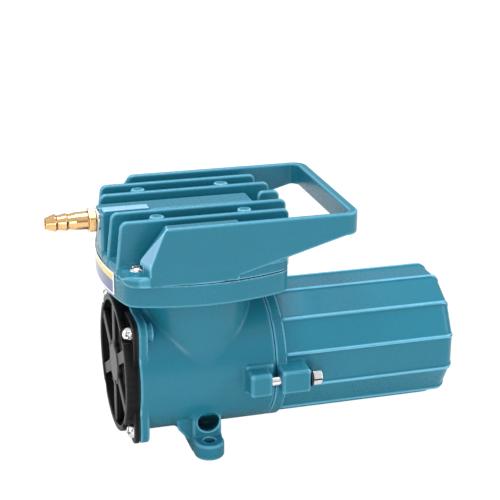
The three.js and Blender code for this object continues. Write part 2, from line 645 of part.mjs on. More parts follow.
function buildPistonScrew() {
  const seat = intakeTop + reedPlay;
  return turnedZ([
    [crownTop - pistonScrew.depth + seatGap, 0],
    [crownTop - pistonScrew.depth + seatGap, pistonScrew.radius],
    [seat, pistonScrew.radius], [seat, pistonScrew.headRadius],
    [seat + pistonScrew.headHeight, pistonScrew.headRadius], [seat + pistonScrew.headHeight, 0],
  ], sides.tiny);
}

function buildEccentric() {
  const hubEnd = eccentric.hubX + eccentric.hubLength;
  const pin = rodX(-rod.halfWidth, eccentric.hubX + overrun, bigEnd.pinRadius, sides.medium, 0, pinZ);
  const hub = rodX(eccentric.hubX, hubEnd, eccentric.hubRadius, sides.medium);
  const halfAngle = THREE.MathUtils.degToRad(eccentric.weightHalfAngle);
  const sector = new THREE.Shape();
  sector.absarc(0, 0, weightRadius, Math.PI / 2 - halfAngle, Math.PI / 2 + halfAngle);
  sector.lineTo(0, 0);
  const weight = alongX(sector, eccentric.hubX, hubEnd);
  const shaftHole = rodX(shaft.frontX - fitGap, hubEnd + overrun, shaft.radius + fitGap, sides.small);
  return joined(pin, hub, weight).subtract(shaftHole);
}

// Motor levels along the shaft
const coreStart = armature.centreX - armature.length / 2;
const coreEnd = coreStart + armature.length;
const yokeOuter = barrelRadius - capWall - fitGap - (barrelRadius - facetRadius);
const yokeInner = yokeOuter - yoke.wall;
const magnetOuter = yokeInner - fitGap;
const magnetInner = magnetOuter - magnet.thickness;
const coreRadius = magnetInner - armature.airGap;
const commutatorStart = coreEnd + winding.length + commutator.gap;
const brushX = commutatorStart + commutator.length / 2;
const rearBearingEnd = capEndX - cap.endWall;
const rearBearingStart = rearBearingEnd - rearBearing.width;
const holderStart = commutator.radius + fitGap * 2 + brush.holderWall;
const holderLength = yokeInner - brush.holderGap - holderStart;
const brushLength = holderLength - brush.springRoom;
const windingOuter = coreRadius - winding.inset;
const windingInner = windingOuter * winding.innerShare;
const holderReachX = brush.halfWidth + fitGap / 2 + brush.holderWall;
const brushPlateStart = brushX + holderReachX + seatGap;
const yokeEnd = brushPlateStart - yoke.rearGap;

function buildShaft() {
  return turnedX([
    [shaft.frontX, 0], [shaft.frontX, shaft.radius - seatGap],
    [rearBearingStart - fitGap, shaft.radius - seatGap],
    [rearBearingStart - fitGap, shaft.rearRadius - seatGap],
    [rearBearingEnd - fitGap, shaft.rearRadius - seatGap], [rearBearingEnd - fitGap, 0],
  ], sides.small);
}

// Laminated core with slots for the windings
function buildArmature() {
  const shape = new THREE.Shape();
  const slotInner = coreRadius - armature.slotDepth;
  const pitch = (Math.PI * 2) / armature.slots;
  const mouth = armature.slotHalf / coreRadius;
  const belly = (armature.slotHalf * armature.slotMouth) / slotInner;
  const at = (radius, angle) => [radius * Math.cos(angle), radius * Math.sin(angle)];
  for (let i = 0; i < armature.slots; i += 1) {
    const middle = i * pitch;
    const points = [
      at(coreRadius, middle - mouth), at(coreRadius - overrun, middle - mouth),
      at(slotInner, middle - belly),
      at(slotInner, middle + belly), at(coreRadius - overrun, middle + mouth),
      at(coreRadius, middle + mouth),
    ];
    points.forEach(([x, y], index) => (i + index === 0 ? shape.moveTo(x, y) : shape.lineTo(x, y)));
    shape.absarc(0, 0, coreRadius, middle + mouth, middle + pitch - mouth);
  }
  return alongX(shape, coreStart, coreEnd).subtract(rodX(coreStart - overrun, coreEnd + overrun,
    shaft.radius + fitGap, sides.small));
}

function buildWinding(x0) {
  const round = winding.length / 4;
  return turnedX([
    [x0, windingInner], [x0, windingOuter - round], [x0 + round, windingOuter],
    [x0 + winding.length - round, windingOuter], [x0 + winding.length, windingOuter - round],
    [x0 + winding.length, windingInner], [x0, windingInner],
  ], sides.small);
}

const buildCommutator = () => ringX(commutatorStart, commutatorStart + commutator.length,
  shaft.radius + seatGap, commutator.radius, sides.small);

const buildYoke = () => ringX(yoke.frontX, yokeEnd, yokeInner, yokeOuter, sides.medium);

function buildMagnet(sign) {
  const half = THREE.MathUtils.degToRad(magnet.halfAngle);
  const middle = sign > 0 ? 0 : Math.PI;
  const shape = new THREE.Shape();
  shape.absarc(0, 0, magnetOuter, middle - half, middle + half, false);
  shape.absarc(0, 0, magnetInner, middle + half, middle - half, true);
  const start = armature.centreX - magnet.length / 2;
  return alongX(shape, start, start + magnet.length);
}

function buildBearingRings(x0, bearing, count) {
  const innerTop = bearing.inner + bearing.ringWall;
  return {
    outer: ringX(x0, x0 + bearing.width, bearing.outer - bearing.ringWall, bearing.outer, count),
    inner: ringX(x0, x0 + bearing.width, bearing.inner + seatGap, innerTop, count),
  };
}

function buildBrush(sign) {
  const y0 = commutator.radius + fitGap;
  const body = block(brushX - brush.halfWidth, brushX + brush.halfWidth, y0, y0 + brushLength,
    -brush.halfLength, brush.halfLength);
  return sign > 0 ? body : body.mirror([0, 1, 0]);
}

function buildBrushHolder(sign) {
  const y0 = holderStart;
  const reachZ = brush.halfLength + fitGap / 2 + brush.holderWall;
  const clearX = holderReachX - brush.holderWall;
  const tube = cut(
    block(brushX - holderReachX, brushX + holderReachX, y0, y0 + holderLength, -reachZ, reachZ),
    block(brushX - clearX, brushX + clearX, y0 - overrun, y0 + holderLength - brush.holderWall,
      brush.holderWall - reachZ, reachZ - brush.holderWall),
  );
  return sign > 0 ? tube : tube.mirror([0, 1, 0]);
}

// A folded leaf that presses the brush inwards
function buildBrushSpring(sign) {
  const y0 = commutator.radius + fitGap + brushLength + seatGap;
  const y1 = commutator.radius + fitGap * 2 + holderLength - seatGap;
  const leaf = (y1 - y0) / 4;
  const w = brush.halfLength - fitGap;
  const shape = outline([
    [-w, y0], [w, y0], [w, y0 + leaf], [leaf - w, y0 + leaf], [w, y1 - leaf], [w, y1], [-w, y1],
    [-w, y1 - leaf], [w - leaf * 2, y1 - leaf], [-w, y0 + leaf],
  ]);
  const turn = new THREE.Matrix4().makeBasis(axisZ, axisY, axisX.clone().negate());
  const depth = (brush.halfWidth - fitGap) * 2;
  const strip = solid(extruded(shape, depth).applyMatrix4(turn).translate(brushX + depth / 2, 0, 0));
  return sign > 0 ? strip : strip.mirror([0, 1, 0]);
}

function buildBrushPlate() {
  return ringX(brushPlateStart, brushPlateStart + brushPlate.thickness, brushPlate.innerRadius, yokeOuter,
    sides.medium);
}

function ribbedOutline() {
  const points = [];
  for (let i = 0; i < cap.ribCount; i += 1) {
    const middle = ((i + 0.5) * Math.PI * 2) / cap.ribCount;
    const footHalf = cap.ribFootHalf / facetRadius;
    const topHalf = cap.ribTopHalf / ribRadius;
    for (const [radius, angle] of [
      [facetRadius, middle - footHalf], [ribRadius, middle - topHalf],
      [ribRadius, middle + topHalf], [facetRadius, middle + footHalf],
    ]) points.push([radius * Math.cos(angle), radius * Math.sin(angle)]);
  }
  return outline(points);
}

function buildMotorCap() {
  const x0 = lugRearX;
  const ribStart = x0 + cap.collarLength;
  const roundStart = capEndX - cap.endRound;
  const endRadius = ribRadius - cap.endTaper;
  const quarter = Array.from({ length: endRoundSteps + 1 }, (_, i) => {
    const angle = (i / endRoundSteps) * (Math.PI / 2);
    return [roundStart + cap.endRound * Math.sin(angle), endRadius - cap.endRound * (1 - Math.cos(angle))];
  });
  const envelope = turnedX([
    [ribStart - overrun, 0], [ribStart - overrun, ribRadius + seatGap], ...quarter, [capEndX, 0],
  ], sides.large);
  let body = alongX(ribbedOutline(), ribStart - overrun, capEndX + overrun).intersect(envelope);
  body = joined(body, rodX(x0, ribStart, barrelRadius, sides.large),
    ...signs.map((sign) => lugBlock(sign, x0, lugEndX)));
  const hollowRadius = yokeOuter + fitGap;
  const floorX = brushPlateStart + brushPlate.thickness + fitGap;
  const pocket = rearBearing.outer + fitGap;
  const pocketBoss = rodX(rearBearingStart, capEndX - cap.endWall / 2, pocket + rearBearing.pocketWall,
    sides.medium);
  const taperEnd = hollowRadius - cap.endRound;
  const hollow = turnedX([
    [x0 - overrun, 0], [x0 - overrun, hollowRadius], [floorX, hollowRadius],
    [capEndX - cap.endWall, taperEnd], [capEndX - cap.endWall, 0],
  ], sides.large);
  body = cut(joined(cut(body, hollow), pocketBoss),
    rodX(rearBearingStart - overrun, rearBearingEnd, pocket, sides.medium),
    rodX(capEndX - cap.endWall - overrun, capEndX + overrun, grommet.radius + fitGap, sides.small, 0,
      grommetZ));
  for (const sign of signs) {
    body = body.subtract(rodX(x0 - overrun, lugEndX + overrun, motorBolt.radius + fitGap, sides.tiny,
      sign * motorBoltReach, -lug.drop));
  }
  return body;
}

function buildMotorBolt() {
  const end = lug.frontX + lug.frontLength - motorBolt.threadDepth;
  const seat = lugEndX + seatGap * 2 + motorBolt.washerThickness;
  return rodX(end, seat + motorBolt.headHeight / 2, motorBolt.radius, sides.tiny)
    .add(hexPrism(seat, seat + motorBolt.headHeight, motorBolt.headAcrossFlats));
}

const buildBoltWasher = () => ringX(lugEndX + seatGap, lugEndX + seatGap + motorBolt.washerThickness,
  motorBolt.radius + fitGap, motorBolt.washerRadius, sides.small);

const grilleBack = coverFront + cover.grilleInset + cover.grilleDepth;

function buildCover() {
  const plateFront = coverBack - cover.plateThickness;
  const mouthRadius = coverRingRadius - cover.ringWall;
  let body = joined(
    alongX(roundedSquare(mouthHalf, mouthHalf, mouthFlange.cornerRadius), plateFront, coverBack),
    rodX(coverFront, coverBack, coverRingRadius, sides.large),
  );
  body = body.subtract(rodX(coverFront - overrun, coverBack + overrun, mouthRadius, sides.large));
  const spokeFront = coverFront + cover.grilleInset;
  const grille = [
    rodX(spokeFront, grilleBack, cover.hubRadius, sides.medium),
    ringX(spokeFront, grilleBack, cover.midRingRadius - cover.midRingHalf,
      cover.midRingRadius + cover.midRingHalf, sides.medium),
  ];
  for (let i = 0; i < cover.spokeCount; i += 1) {
    const angle = ((i + 0.5) * 360) / cover.spokeCount;
    const spoke = block(spokeFront, grilleBack, cover.hubRadius / 2, mouthRadius + cover.ringWall / 2,
      -cover.spokeHalf, cover.spokeHalf);
    grille.push(spoke.rotate([angle, 0, 0]));
  }
  body = joined(body, ...grille);
  body = body.subtract(rodX(spokeFront - overrun, spokeFront + cover.discThickness / 2,
    cover.discRadius + fitGap, sides.medium));
  for (const [v, w] of corners) {
    const [y, z] = [v * coverScrewReach, w * coverScrewReach];
    body = cut(body, rodX(coverFront - overrun, coverBack + overrun, coverScrew.radius + fitGap, sides.tiny,
      y, z), rodX(coverFront - overrun, plateFront, coverScrew.headRadius + fitGap * 2, sides.small, y, z));
  }
  return body;
}

const buildCoverDisc = () => {
  const seat = coverFront + cover.grilleInset + cover.discThickness / 2 - seatGap;
  return rodX(seat - cover.discThickness, seat, cover.discRadius, sides.medium);
};

const buildFilter = () => rodX(coverSeatX + fitGap, coverSeatX + fitGap + filter.thickness,
  cavityRadius - fitGap, sides.medium);

// A cross-headed screw along Z, its head's seat at zero and its tip below
const headHeightShares = { shoulder: 0.45, dome: 0.85, slotFloor: 0.4 };
const headRadiusShares = { dome: 0.72, crown: 0.3, slotReach: 0.55, slotHalf: 0.13 };
function buildCrossScrew(screw, length) {
  const body = turnedZ([
    [-length, 0], [-length, screw.radius], [0, screw.radius], [0, screw.headRadius],
    [screw.headHeight * headHeightShares.shoulder, screw.headRadius],
    [screw.headHeight * headHeightShares.dome, screw.headRadius * headRadiusShares.dome],
    [screw.headHeight, screw.headRadius * headRadiusShares.crown], [screw.headHeight, 0],
  ], sides.tiny);
  const arm = screw.headRadius * headRadiusShares.slotReach;
  const slot = screw.headRadius * headRadiusShares.slotHalf;
  const floor = screw.headHeight * headHeightShares.slotFloor;
  return cut(body, block(-arm, arm, -slot, slot, floor, screw.headHeight + overrun),
    block(-slot, slot, -arm, arm, floor, screw.headHeight + overrun));
}

function buildPostBolt() {
  const tip = flangeBottom + post.holeFloor + fitGap - post.top;
  return rodZ(tip, post.headHeight / 2, post.boltRadius, sides.tiny)
    .add(rodZ(0, post.headHeight, post.headRadius, hexSides));
}

const barbFace = -bowReach(0) - outlet.washerThickness - seatGap * 2;
const hexFront = barbFace - outlet.hexLength;
const barbTip = hexFront - outlet.barbLength;
const ridgePitchShare = 0.25;
const rampEndShare = 0.93;
const ridgeBackShare = 1.08;
const shankStartShare = 1.2;

function buildBarb() {
  const pitch = outlet.barbLength * ridgePitchShare;
  const profile = [[barbTip, outlet.boreRadius], [barbTip, outlet.tipRadius]];
  for (let i = 0; i < outlet.ridgeCount; i += 1) {
    const start = barbTip + i * pitch;
    profile.push([start + pitch * rampEndShare, outlet.ridgeRadius],
      [start + pitch * ridgeBackShare, outlet.valleyRadius]);
  }
  profile.push(
    [hexFront - pitch * shankStartShare, outlet.shankRadius],
    [hexFront + outlet.hexLength / 4, outlet.shankRadius],
    [barbFace - outlet.hexLength / 4, outlet.portRadius],
    [barbFace + outlet.threadLength, outlet.portRadius],
    [barbFace + outlet.threadLength, outlet.boreRadius], [barbTip, outlet.boreRadius],
  );
  const hexagon = hexPrism(hexFront, barbFace, outlet.hexAcrossFlats)
    .subtract(rodX(hexFront - overrun, barbFace + overrun, outlet.boreRadius + seatGap, sides.small));
  return turnedX(profile, sides.small).add(hexagon).translate([0, 0, outlet.z]);
}

const buildOutletWasher = () => {
  const face = -bowReach(0) - seatGap;
  return ringX(face - outlet.washerThickness, face, outlet.portRadius + fitGap, outlet.washerRadius,
    sides.small)
    .translate([0, 0, outlet.z]);
};

function buildLabel() {
  const shell = cut(alongZ(bowedSquare(seatGap + label.thickness), label.bottom,
    label.bottom + label.height),
    alongZ(bowedSquare(seatGap), label.bottom - overrun, label.bottom + label.height + overrun));
  const window = block(-flangeHalf * 2, -flangeHalf / 2, -label.halfWidth, label.halfWidth,
    label.bottom - overrun, label.bottom + label.height + overrun);
  return shell.intersect(window);
}

const grommetEnd = capEndX + seatGap + grommet.lipThickness;

function buildGrommet() {
  const inner = capEndX - cap.endWall;
  return turnedX([
    [inner, grommet.boreRadius], [inner, grommet.radius], [capEndX + seatGap, grommet.radius],
    [capEndX + seatGap, grommet.lipRadius], [grommetEnd, grommet.lipRadius],
    [grommetEnd, grommet.boreRadius], [inner, grommet.boreRadius],
  ], sides.small).translate([0, 0, grommetZ]);
}

function meshOf(name, body, look) {
  const { vertProperties, triVerts } = body.getMesh();
  const geometry = new THREE.BufferGeometry();
  geometry.setAttribute('position', new THREE.BufferAttribute(Float32Array.from(vertProperties), 3));
  geometry.setIndex(Array.from(triVerts));
  geometry.computeVertexNormals();
  const mesh = new THREE.Mesh(geometry, new THREE.MeshStandardMaterial(look));
  mesh.name = name;
  return mesh;
}

// Assembly: every piece hangs in a group whose origin is where the shaft's and piston's axes cross
const pump = new THREE.Group();
const onShaft = new THREE.Group();
onShaft.position.set(-(barbTip + grommetEnd) / 2, 0, shaftHeight);
pump.add(onShaft);
const add = (name, body, look) => {
  const mesh = meshOf(name, body, look);
  onShaft.add(mesh);
  return mesh;
};

add('crankcase', buildCrankcase(), paint);
add('cylinder_head', buildHead(), paint);
add('head_gasket', buildGasket(), rubber);
add('valve_plate', buildValvePlate(), aluminium);
add('exhaust_reed', buildExhaustReed(), steel);
add('exhaust_reed_stop', buildReedStop(), steel);
add('reed_screw', buildReedScrew(), steel);
add('cylinder_liner', buildLiner(), aluminium);
add('connecting_rod', buildRod(), aluminium);
add('piston_cup', buildCup(), whitePlastic);
add('cup_retainer', buildRetainer(), aluminium);
add('intake_reed', buildIntakeReed(), steel);
add('piston_screw', buildPistonScrew(), steel);
add('big_end_outer_race',
  ringX(-rod.halfWidth, rod.halfWidth, bigEnd.outerRaceInner, bigEnd.outerRace, sides.medium)
  .translate([0, 0, pinZ]), steel);
add('big_end_inner_race', ringX(-rod.halfWidth, rod.halfWidth, bigEnd.pinRadius + fitGap, bigEnd.innerRace,
  sides.medium).translate([0, 0, pinZ]), steel);
const cageMiddle = (bigEnd.innerRace + bigEnd.outerRaceInner) / 2;
add('big_end_cage', ringX(-bigEnd.cageHalf, bigEnd.cageHalf, cageMiddle - bigEnd.cageWall / 2,
  cageMiddle + bigEnd.cageWall / 2, sides.medium).translate([0, 0, pinZ / 2]), brass);
add('crank_eccentric', buildEccentric(), steel);
add('motor_shaft', buildShaft(), steel);
add('armature_core', buildArmature(), steel);
add('armature_winding_front', buildWinding(coreStart - seatGap - winding.length), copper);
add('armature_winding_rear', buildWinding(coreEnd + seatGap), copper);
add('commutator', buildCommutator(), copper);
add('motor_yoke', buildYoke(), steel);
const front = buildBearingRings(frontBearing.x, frontBearing, sides.medium);
add('front_bearing_outer', front.outer, steel);
add('front_bearing_inner', front.inner, steel);
const rear = buildBearingRings(rearBearingStart, rearBearing, sides.small);
add('rear_bearing_outer', rear.outer, steel);
add('rear_bearing_inner', rear.inner, steel);
add('brush_plate', buildBrushPlate(), blackPlastic);
for (const sign of signs) {
  const side = sideName(sign);
  add(`magnet_${side}`, buildMagnet(sign), ferrite);
  add(`brush_holder_${side}`, buildBrushHolder(sign), brass);
  add(`brush_${side}`, buildBrush(sign), graphite);
  add(`brush_spring_${side}`, buildBrushSpring(sign), steel);
  const bolt = add(`motor_bolt_${side}`, buildMotorBolt(), chrome);
  bolt.position.set(0, sign * motorBoltReach, -lug.drop);
  const washer = add(`bolt_washer_${side}`, buildBoltWasher(), graphite);
  washer.position.copy(bolt.position);
}
add('motor_cap', buildMotorCap(), paint);
add('front_cover', buildCover(), blackPlastic);
add('intake_filter', buildFilter(), foam);
add('cover_disc', buildCoverDisc(), greyPlastic);
corners.forEach(([v, w], index) => {
  const coverFastener = add(`cover_screw_${index + 1}`, buildCrossScrew(coverScrew, coverScrew.length),
    chrome);
  coverFastener.rotation.y = -Math.PI / 2;
  coverFastener.position.set(coverScrewSeat, v * coverScrewReach, w * coverScrewReach);
  const cornerFastener = add(`corner_screw_${index + 1}`, buildCrossScrew(cornerScrew, cornerScrew.depth),
    chrome);
  cornerFastener.position.set(v * cornerScrewReach, w * cornerScrewReach, baseTop + seatGap);
  const postBolt = add(`head_bolt_${index + 1}`, buildPostBolt(), paint);
  postBolt.position.set(v * postReachX, w * postReachY, post.top + seatGap);
});
add('outlet_barb', buildBarb(), brass);
add('outlet_washer', buildOutletWasher(), whitePlastic);
add('name_label', buildLabel(), labelFilm);
add('cable_grommet', buildGrommet(), rubber);

export default pump;
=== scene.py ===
"""Looks of a piston air pump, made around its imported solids.

Lengths are millimetres in the pump's own axes until a mesh is made: x runs along the motor's
shaft from the piston's axis, y points to the far side, and z rises from the shaft's axis.
"""

from __future__ import annotations

import json
import logging
import math
from collections.abc import Callable, Sequence
from dataclasses import dataclass, field
from enum import Enum
from functools import reduce
from operator import or_

import bpy
import numpy as np
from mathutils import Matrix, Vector

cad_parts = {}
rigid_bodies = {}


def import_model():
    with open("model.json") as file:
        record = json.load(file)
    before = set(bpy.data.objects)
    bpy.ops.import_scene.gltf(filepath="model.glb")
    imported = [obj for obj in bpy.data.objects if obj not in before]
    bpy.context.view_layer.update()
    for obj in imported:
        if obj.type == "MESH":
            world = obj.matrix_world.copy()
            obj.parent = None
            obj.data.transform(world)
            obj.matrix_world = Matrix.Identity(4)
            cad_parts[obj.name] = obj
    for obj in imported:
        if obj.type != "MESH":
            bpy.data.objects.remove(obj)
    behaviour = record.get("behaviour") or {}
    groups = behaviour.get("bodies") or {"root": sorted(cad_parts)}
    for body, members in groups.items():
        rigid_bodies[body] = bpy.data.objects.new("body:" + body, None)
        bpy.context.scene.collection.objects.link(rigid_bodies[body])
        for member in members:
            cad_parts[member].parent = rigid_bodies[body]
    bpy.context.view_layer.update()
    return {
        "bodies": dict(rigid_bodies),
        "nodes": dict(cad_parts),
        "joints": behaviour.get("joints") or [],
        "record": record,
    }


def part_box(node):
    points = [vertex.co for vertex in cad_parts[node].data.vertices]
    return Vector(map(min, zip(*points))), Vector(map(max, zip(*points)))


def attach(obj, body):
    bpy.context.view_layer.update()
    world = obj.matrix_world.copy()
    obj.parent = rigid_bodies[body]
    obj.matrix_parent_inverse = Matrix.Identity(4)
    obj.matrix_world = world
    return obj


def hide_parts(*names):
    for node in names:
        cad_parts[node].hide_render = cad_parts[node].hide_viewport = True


LOG = logging.getLogger("air_pump")
MILLIMETRE = 0.001
# How far a cut reaches past the surface that it opens, in millimetres.
OVERRUN = 2.0
Array = np.ndarray
Outline = Callable[[Array, Array], Array]
Point = tuple[float, float, float]


class Axis(Enum):
    """An axis of the pump, with the order in which its cross-section's axes follow it."""

    X = (0, 1, 2)
    Y = (1, 0, 2)
    Z = (2, 0, 1)


@dataclass(frozen=True)
class Form:
    """A solid given by its signed distance in millimetres, negative inside."""

    distance: Callable[[Array, Array, Array], Array]

    def __call__(self, x: Array, y: Array, z: Array) -> Array:
        """Signed distance at the given places."""
        return self.distance(x, y, z)

    def __or__(self, other: Form) -> Form:
        """Both solids."""
        return Form(lambda x, y, z: np.minimum(self(x, y, z), other(x, y, z)))

    def __and__(self, other: Form) -> Form:
        """What the solids share."""
        return Form(lambda x, y, z: np.maximum(self(x, y, z), other(x, y, z)))

    def __sub__(self, other: Form) -> Form:
        """This solid without the other."""
        return Form(lambda x, y, z: np.maximum(self(x, y, z), -other(x, y, z)))

    def filleted(self, other: Form, radius: float) -> Form:
        """Both solids, with a fillet where they meet.

        Args:
            other: The solid that is added.
            radius: The fillet's radius.

        Returns:
            The joined solid.
        """

        def distance(x: Array, y: Array, z: Array) -> Array:
            a, b = self(x, y, z), other(x, y, z)
            reach = np.hypot(np.maximum(radius - a, 0), np.maximum(radius - b, 0))
            return np.maximum(radius, np.minimum(a, b)) - reach

        return Form(distance)

    def trimmed(self, other: Form, radius: float) -> Form:
        """What the solids share, with a rounded edge where they meet.

        Args:
            other: The solid that bounds this one.
            radius: The edge's radius.

        Returns:
            The trimmed solid.
        """

        def distance(x: Array, y: Array, z: Array) -> Array:
            a, b = self(x, y, z), other(x, y, z)
            reach = np.hypot(np.maximum(radius + a, 0), np.maximum(radius + b, 0))
            return np.minimum(-radius, np.maximum(a, b)) + reach

        return Form(distance)

    def bored(self, other: Form, radius: float) -> Form:
        """This solid without the other, with the mouth's edge rounded by a radius."""
        return self.trimmed(Form(lambda x, y, z: -other(x, y, z)), radius)

    def mirrored(self, *axes: Axis) -> Form:
        """This solid of the positive side, together with its mirror images across some axes.

        Args:
            axes: The axes along which it is mirrored.

        Returns:
            All the images.
        """
        flipped = [axis.value[0] for axis in axes]

        def distance(*places: Array) -> Array:
            return self(*(np.abs(place) if i in flipped else place for i, place in enumerate(places)))

        return Form(distance)


def half_space(normal: Point, through: Point) -> Form:
    """The space behind a plane.

    Args:
        normal: The plane's outward normal, of any length.
        through: A point on the plane.

    Returns:
        The half space.
    """
    n = Vector(normal).normalized()
    offset = n.dot(Vector(through))
    return Form(lambda x, y, z: n.x * x + n.y * y + n.z * z - offset)


def disc(radius: float, u0: float = 0.0, v0: float = 0.0) -> Outline:
    """The outline of a circle."""
    return lambda u, v: np.hypot(u - u0, v - v0) - radius


def rectangle(half_u: float, half_v: float, corner: float, u0: float = 0.0, v0: float = 0.0) -> Outline:
    """The outline of a rectangle with round corners.

    Args:
        half_u: Half of its width.
        half_v: Half of its height.
        corner: Radius of its corners.
        u0: Place of its centre across.
        v0: Place of its centre upwards.

    Returns:
        The outline.
    """

    def distance(u: Array, v: Array) -> Array:
        a = np.abs(u - u0) - half_u + corner
        b = np.abs(v - v0) - half_v + corner
        return np.hypot(np.maximum(a, 0), np.maximum(b, 0)) + np.minimum(np.maximum(a, b), 0) - corner

    return distance


def prism(axis: Axis, shape: Outline, low: float, high: float, edge: float = 0.0) -> Form:
    """A straight body with a given cross-section.

    Args:
        axis: The axis along which it runs.
        shape: Its cross-section's outline.
        low: Where it starts.
        high: Where it ends.
        edge: Radius of the edges round its two ends.

    Returns:
        The body.
    """
    along, across, up = axis.value
    middle, half = (low + high) / 2, (high - low) / 2

    def distance(x: Array, y: Array, z: Array) -> Array:
        places = (x, y, z)
        side = shape(places[across], places[up]) + edge
        end = np.abs(places[along] - middle) - half + edge
        return np.hypot(np.maximum(side, 0), np.maximum(end, 0)) + np.minimum(np.maximum(side, end), 0) - edge

    return Form(distance)


def rod(axis: Axis, radius: float, low: float, high: float, edge: float = 0.0, u0: float = 0.0,
        v0: float = 0.0) -> Form:
    """A round bar along an axis, with its centre at u0, v0 and rounded end edges."""
    return prism(axis, disc(radius, u0, v0), low, high, edge)


def block(low: Point, high: Point, edge: float = 0.0) -> Form:
    """A box.

    Args:
        low: Its lowest corner.
        high: Its highest corner.
        edge: Radius of all its edges.

    Returns:
        The box.
    """
    centre = [(a + b) / 2 for a, b in zip(low, high)]
    half = [(b - a) / 2 - edge for a, b in zip(low, high)]

    def distance(x: Array, y: Array, z: Array) -> Array:
        a, b, c = (np.abs(p - m) - h for p, m, h in zip((x, y, z), centre, half))
        outside = np.sqrt(np.maximum(a, 0) ** 2 + np.maximum(b, 0) ** 2 + np.maximum(c, 0) ** 2)
        return outside + np.minimum(np.maximum(np.maximum(a, b), c), 0) - edge

    return Form(distance)


def cone(axis: Axis, radius: float, end: float, slope: float, u0: float = 0.0, v0: float = 0.0) -> Form:
    """A cone that narrows along an axis.

    Args:
        axis: The axis along which it runs.
        radius: Its radius at a given end.
        end: Where that end is.
        slope: How fast it narrows.
        u0: Place of its middle across.
        v0: Place of its middle upwards.

    Returns:
        The cone.
    """
    along, across, up = axis.value
    steep = math.hypot(1, slope)

    def distance(x: Array, y: Array, z: Array) -> Array:
        places = (x, y, z)
        reach = np.hypot(places[across] - u0, places[up] - v0)
        return (reach + (places[along] - end) * slope - radius) / steep

    return Form(distance)


def hexagon(bar: Form, axis: Axis, flats: float, edge: float, turn: float = 0.0,
            u0: float = 0.0, v0: float = 0.0) -> Form:
    """A bar cut to a hexagon.

    Args:
        bar: The bar.
        axis: The axis along which it runs.
        flats: Width across the flats.
        edge: Radius of the edges between the flats.
        turn: Angle of the first flat.
        u0: Place of its middle across.
        v0: Place of its middle upwards.

    Returns:
        The cut bar.
    """
    _, across, up = axis.value
    for side in range(6):
        angle = turn + math.pi * side / 3
        normal, through = [0.0] * 3, [0.0] * 3
        normal[across], normal[up] = math.cos(angle), math.sin(angle)
        through[across], through[up] = u0 + flats / 2 * normal[across], v0 + flats / 2 * normal[up]
        bar = bar.trimmed(half_space(tuple(normal), tuple(through)), edge)
    return bar


@dataclass(frozen=True)
class Bore:
    """A round hole along an axis, with its middle at u, v."""

    axis: Axis
    radius: float
    low: float
    high: float
    u: float = 0.0
    v: float = 0.0

    def form(self) -> Form:
        """The space of the hole."""
        return rod(self.axis, self.radius, self.low, self.high, 0, self.u, self.v)


def bores(*holes: Bore) -> Form:
    """The space of several holes."""
    return reduce(or_, (hole.form() for hole in holes))


@dataclass(frozen=True)
class Datum:
    """Where the pump's own axes cross, in the frame that all pieces share."""

    piston_x: float
    shaft_z: float

    @staticmethod
    def of(frame: dict) -> Datum:
        """The datum as the crank's joint gives it."""
        joint = next(j for j in frame["joints"] if j["name"] == "crank_spin")
        return Datum(joint["pos_m"][0], joint["pos_m"][2])

    def placed(self, points: Array) -> Array:
        """Points in millimetres from the datum, as metres in the shared frame."""
        return points * MILLIMETRE + np.array([self.piston_x, 0.0, self.shaft_z])

    def box(self, node: str) -> tuple[Vector, Vector]:
        """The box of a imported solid.

        Args:
            node: The solid's name.

        Returns:
            Its lowest and highest corner, in millimetres from the datum.
        """
        origin = Vector((self.piston_x, 0.0, self.shaft_z))
        low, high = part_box(node)
        return (low - origin) / MILLIMETRE, (high - origin) / MILLIMETRE


CUBE_EDGES = [
    (a, b)
    for a in np.ndindex(2, 2, 2)
    for b in np.ndindex(2, 2, 2)
    if sum(b) - sum(a) == 1 and all(q >= p for p, q in zip(a, b))
]


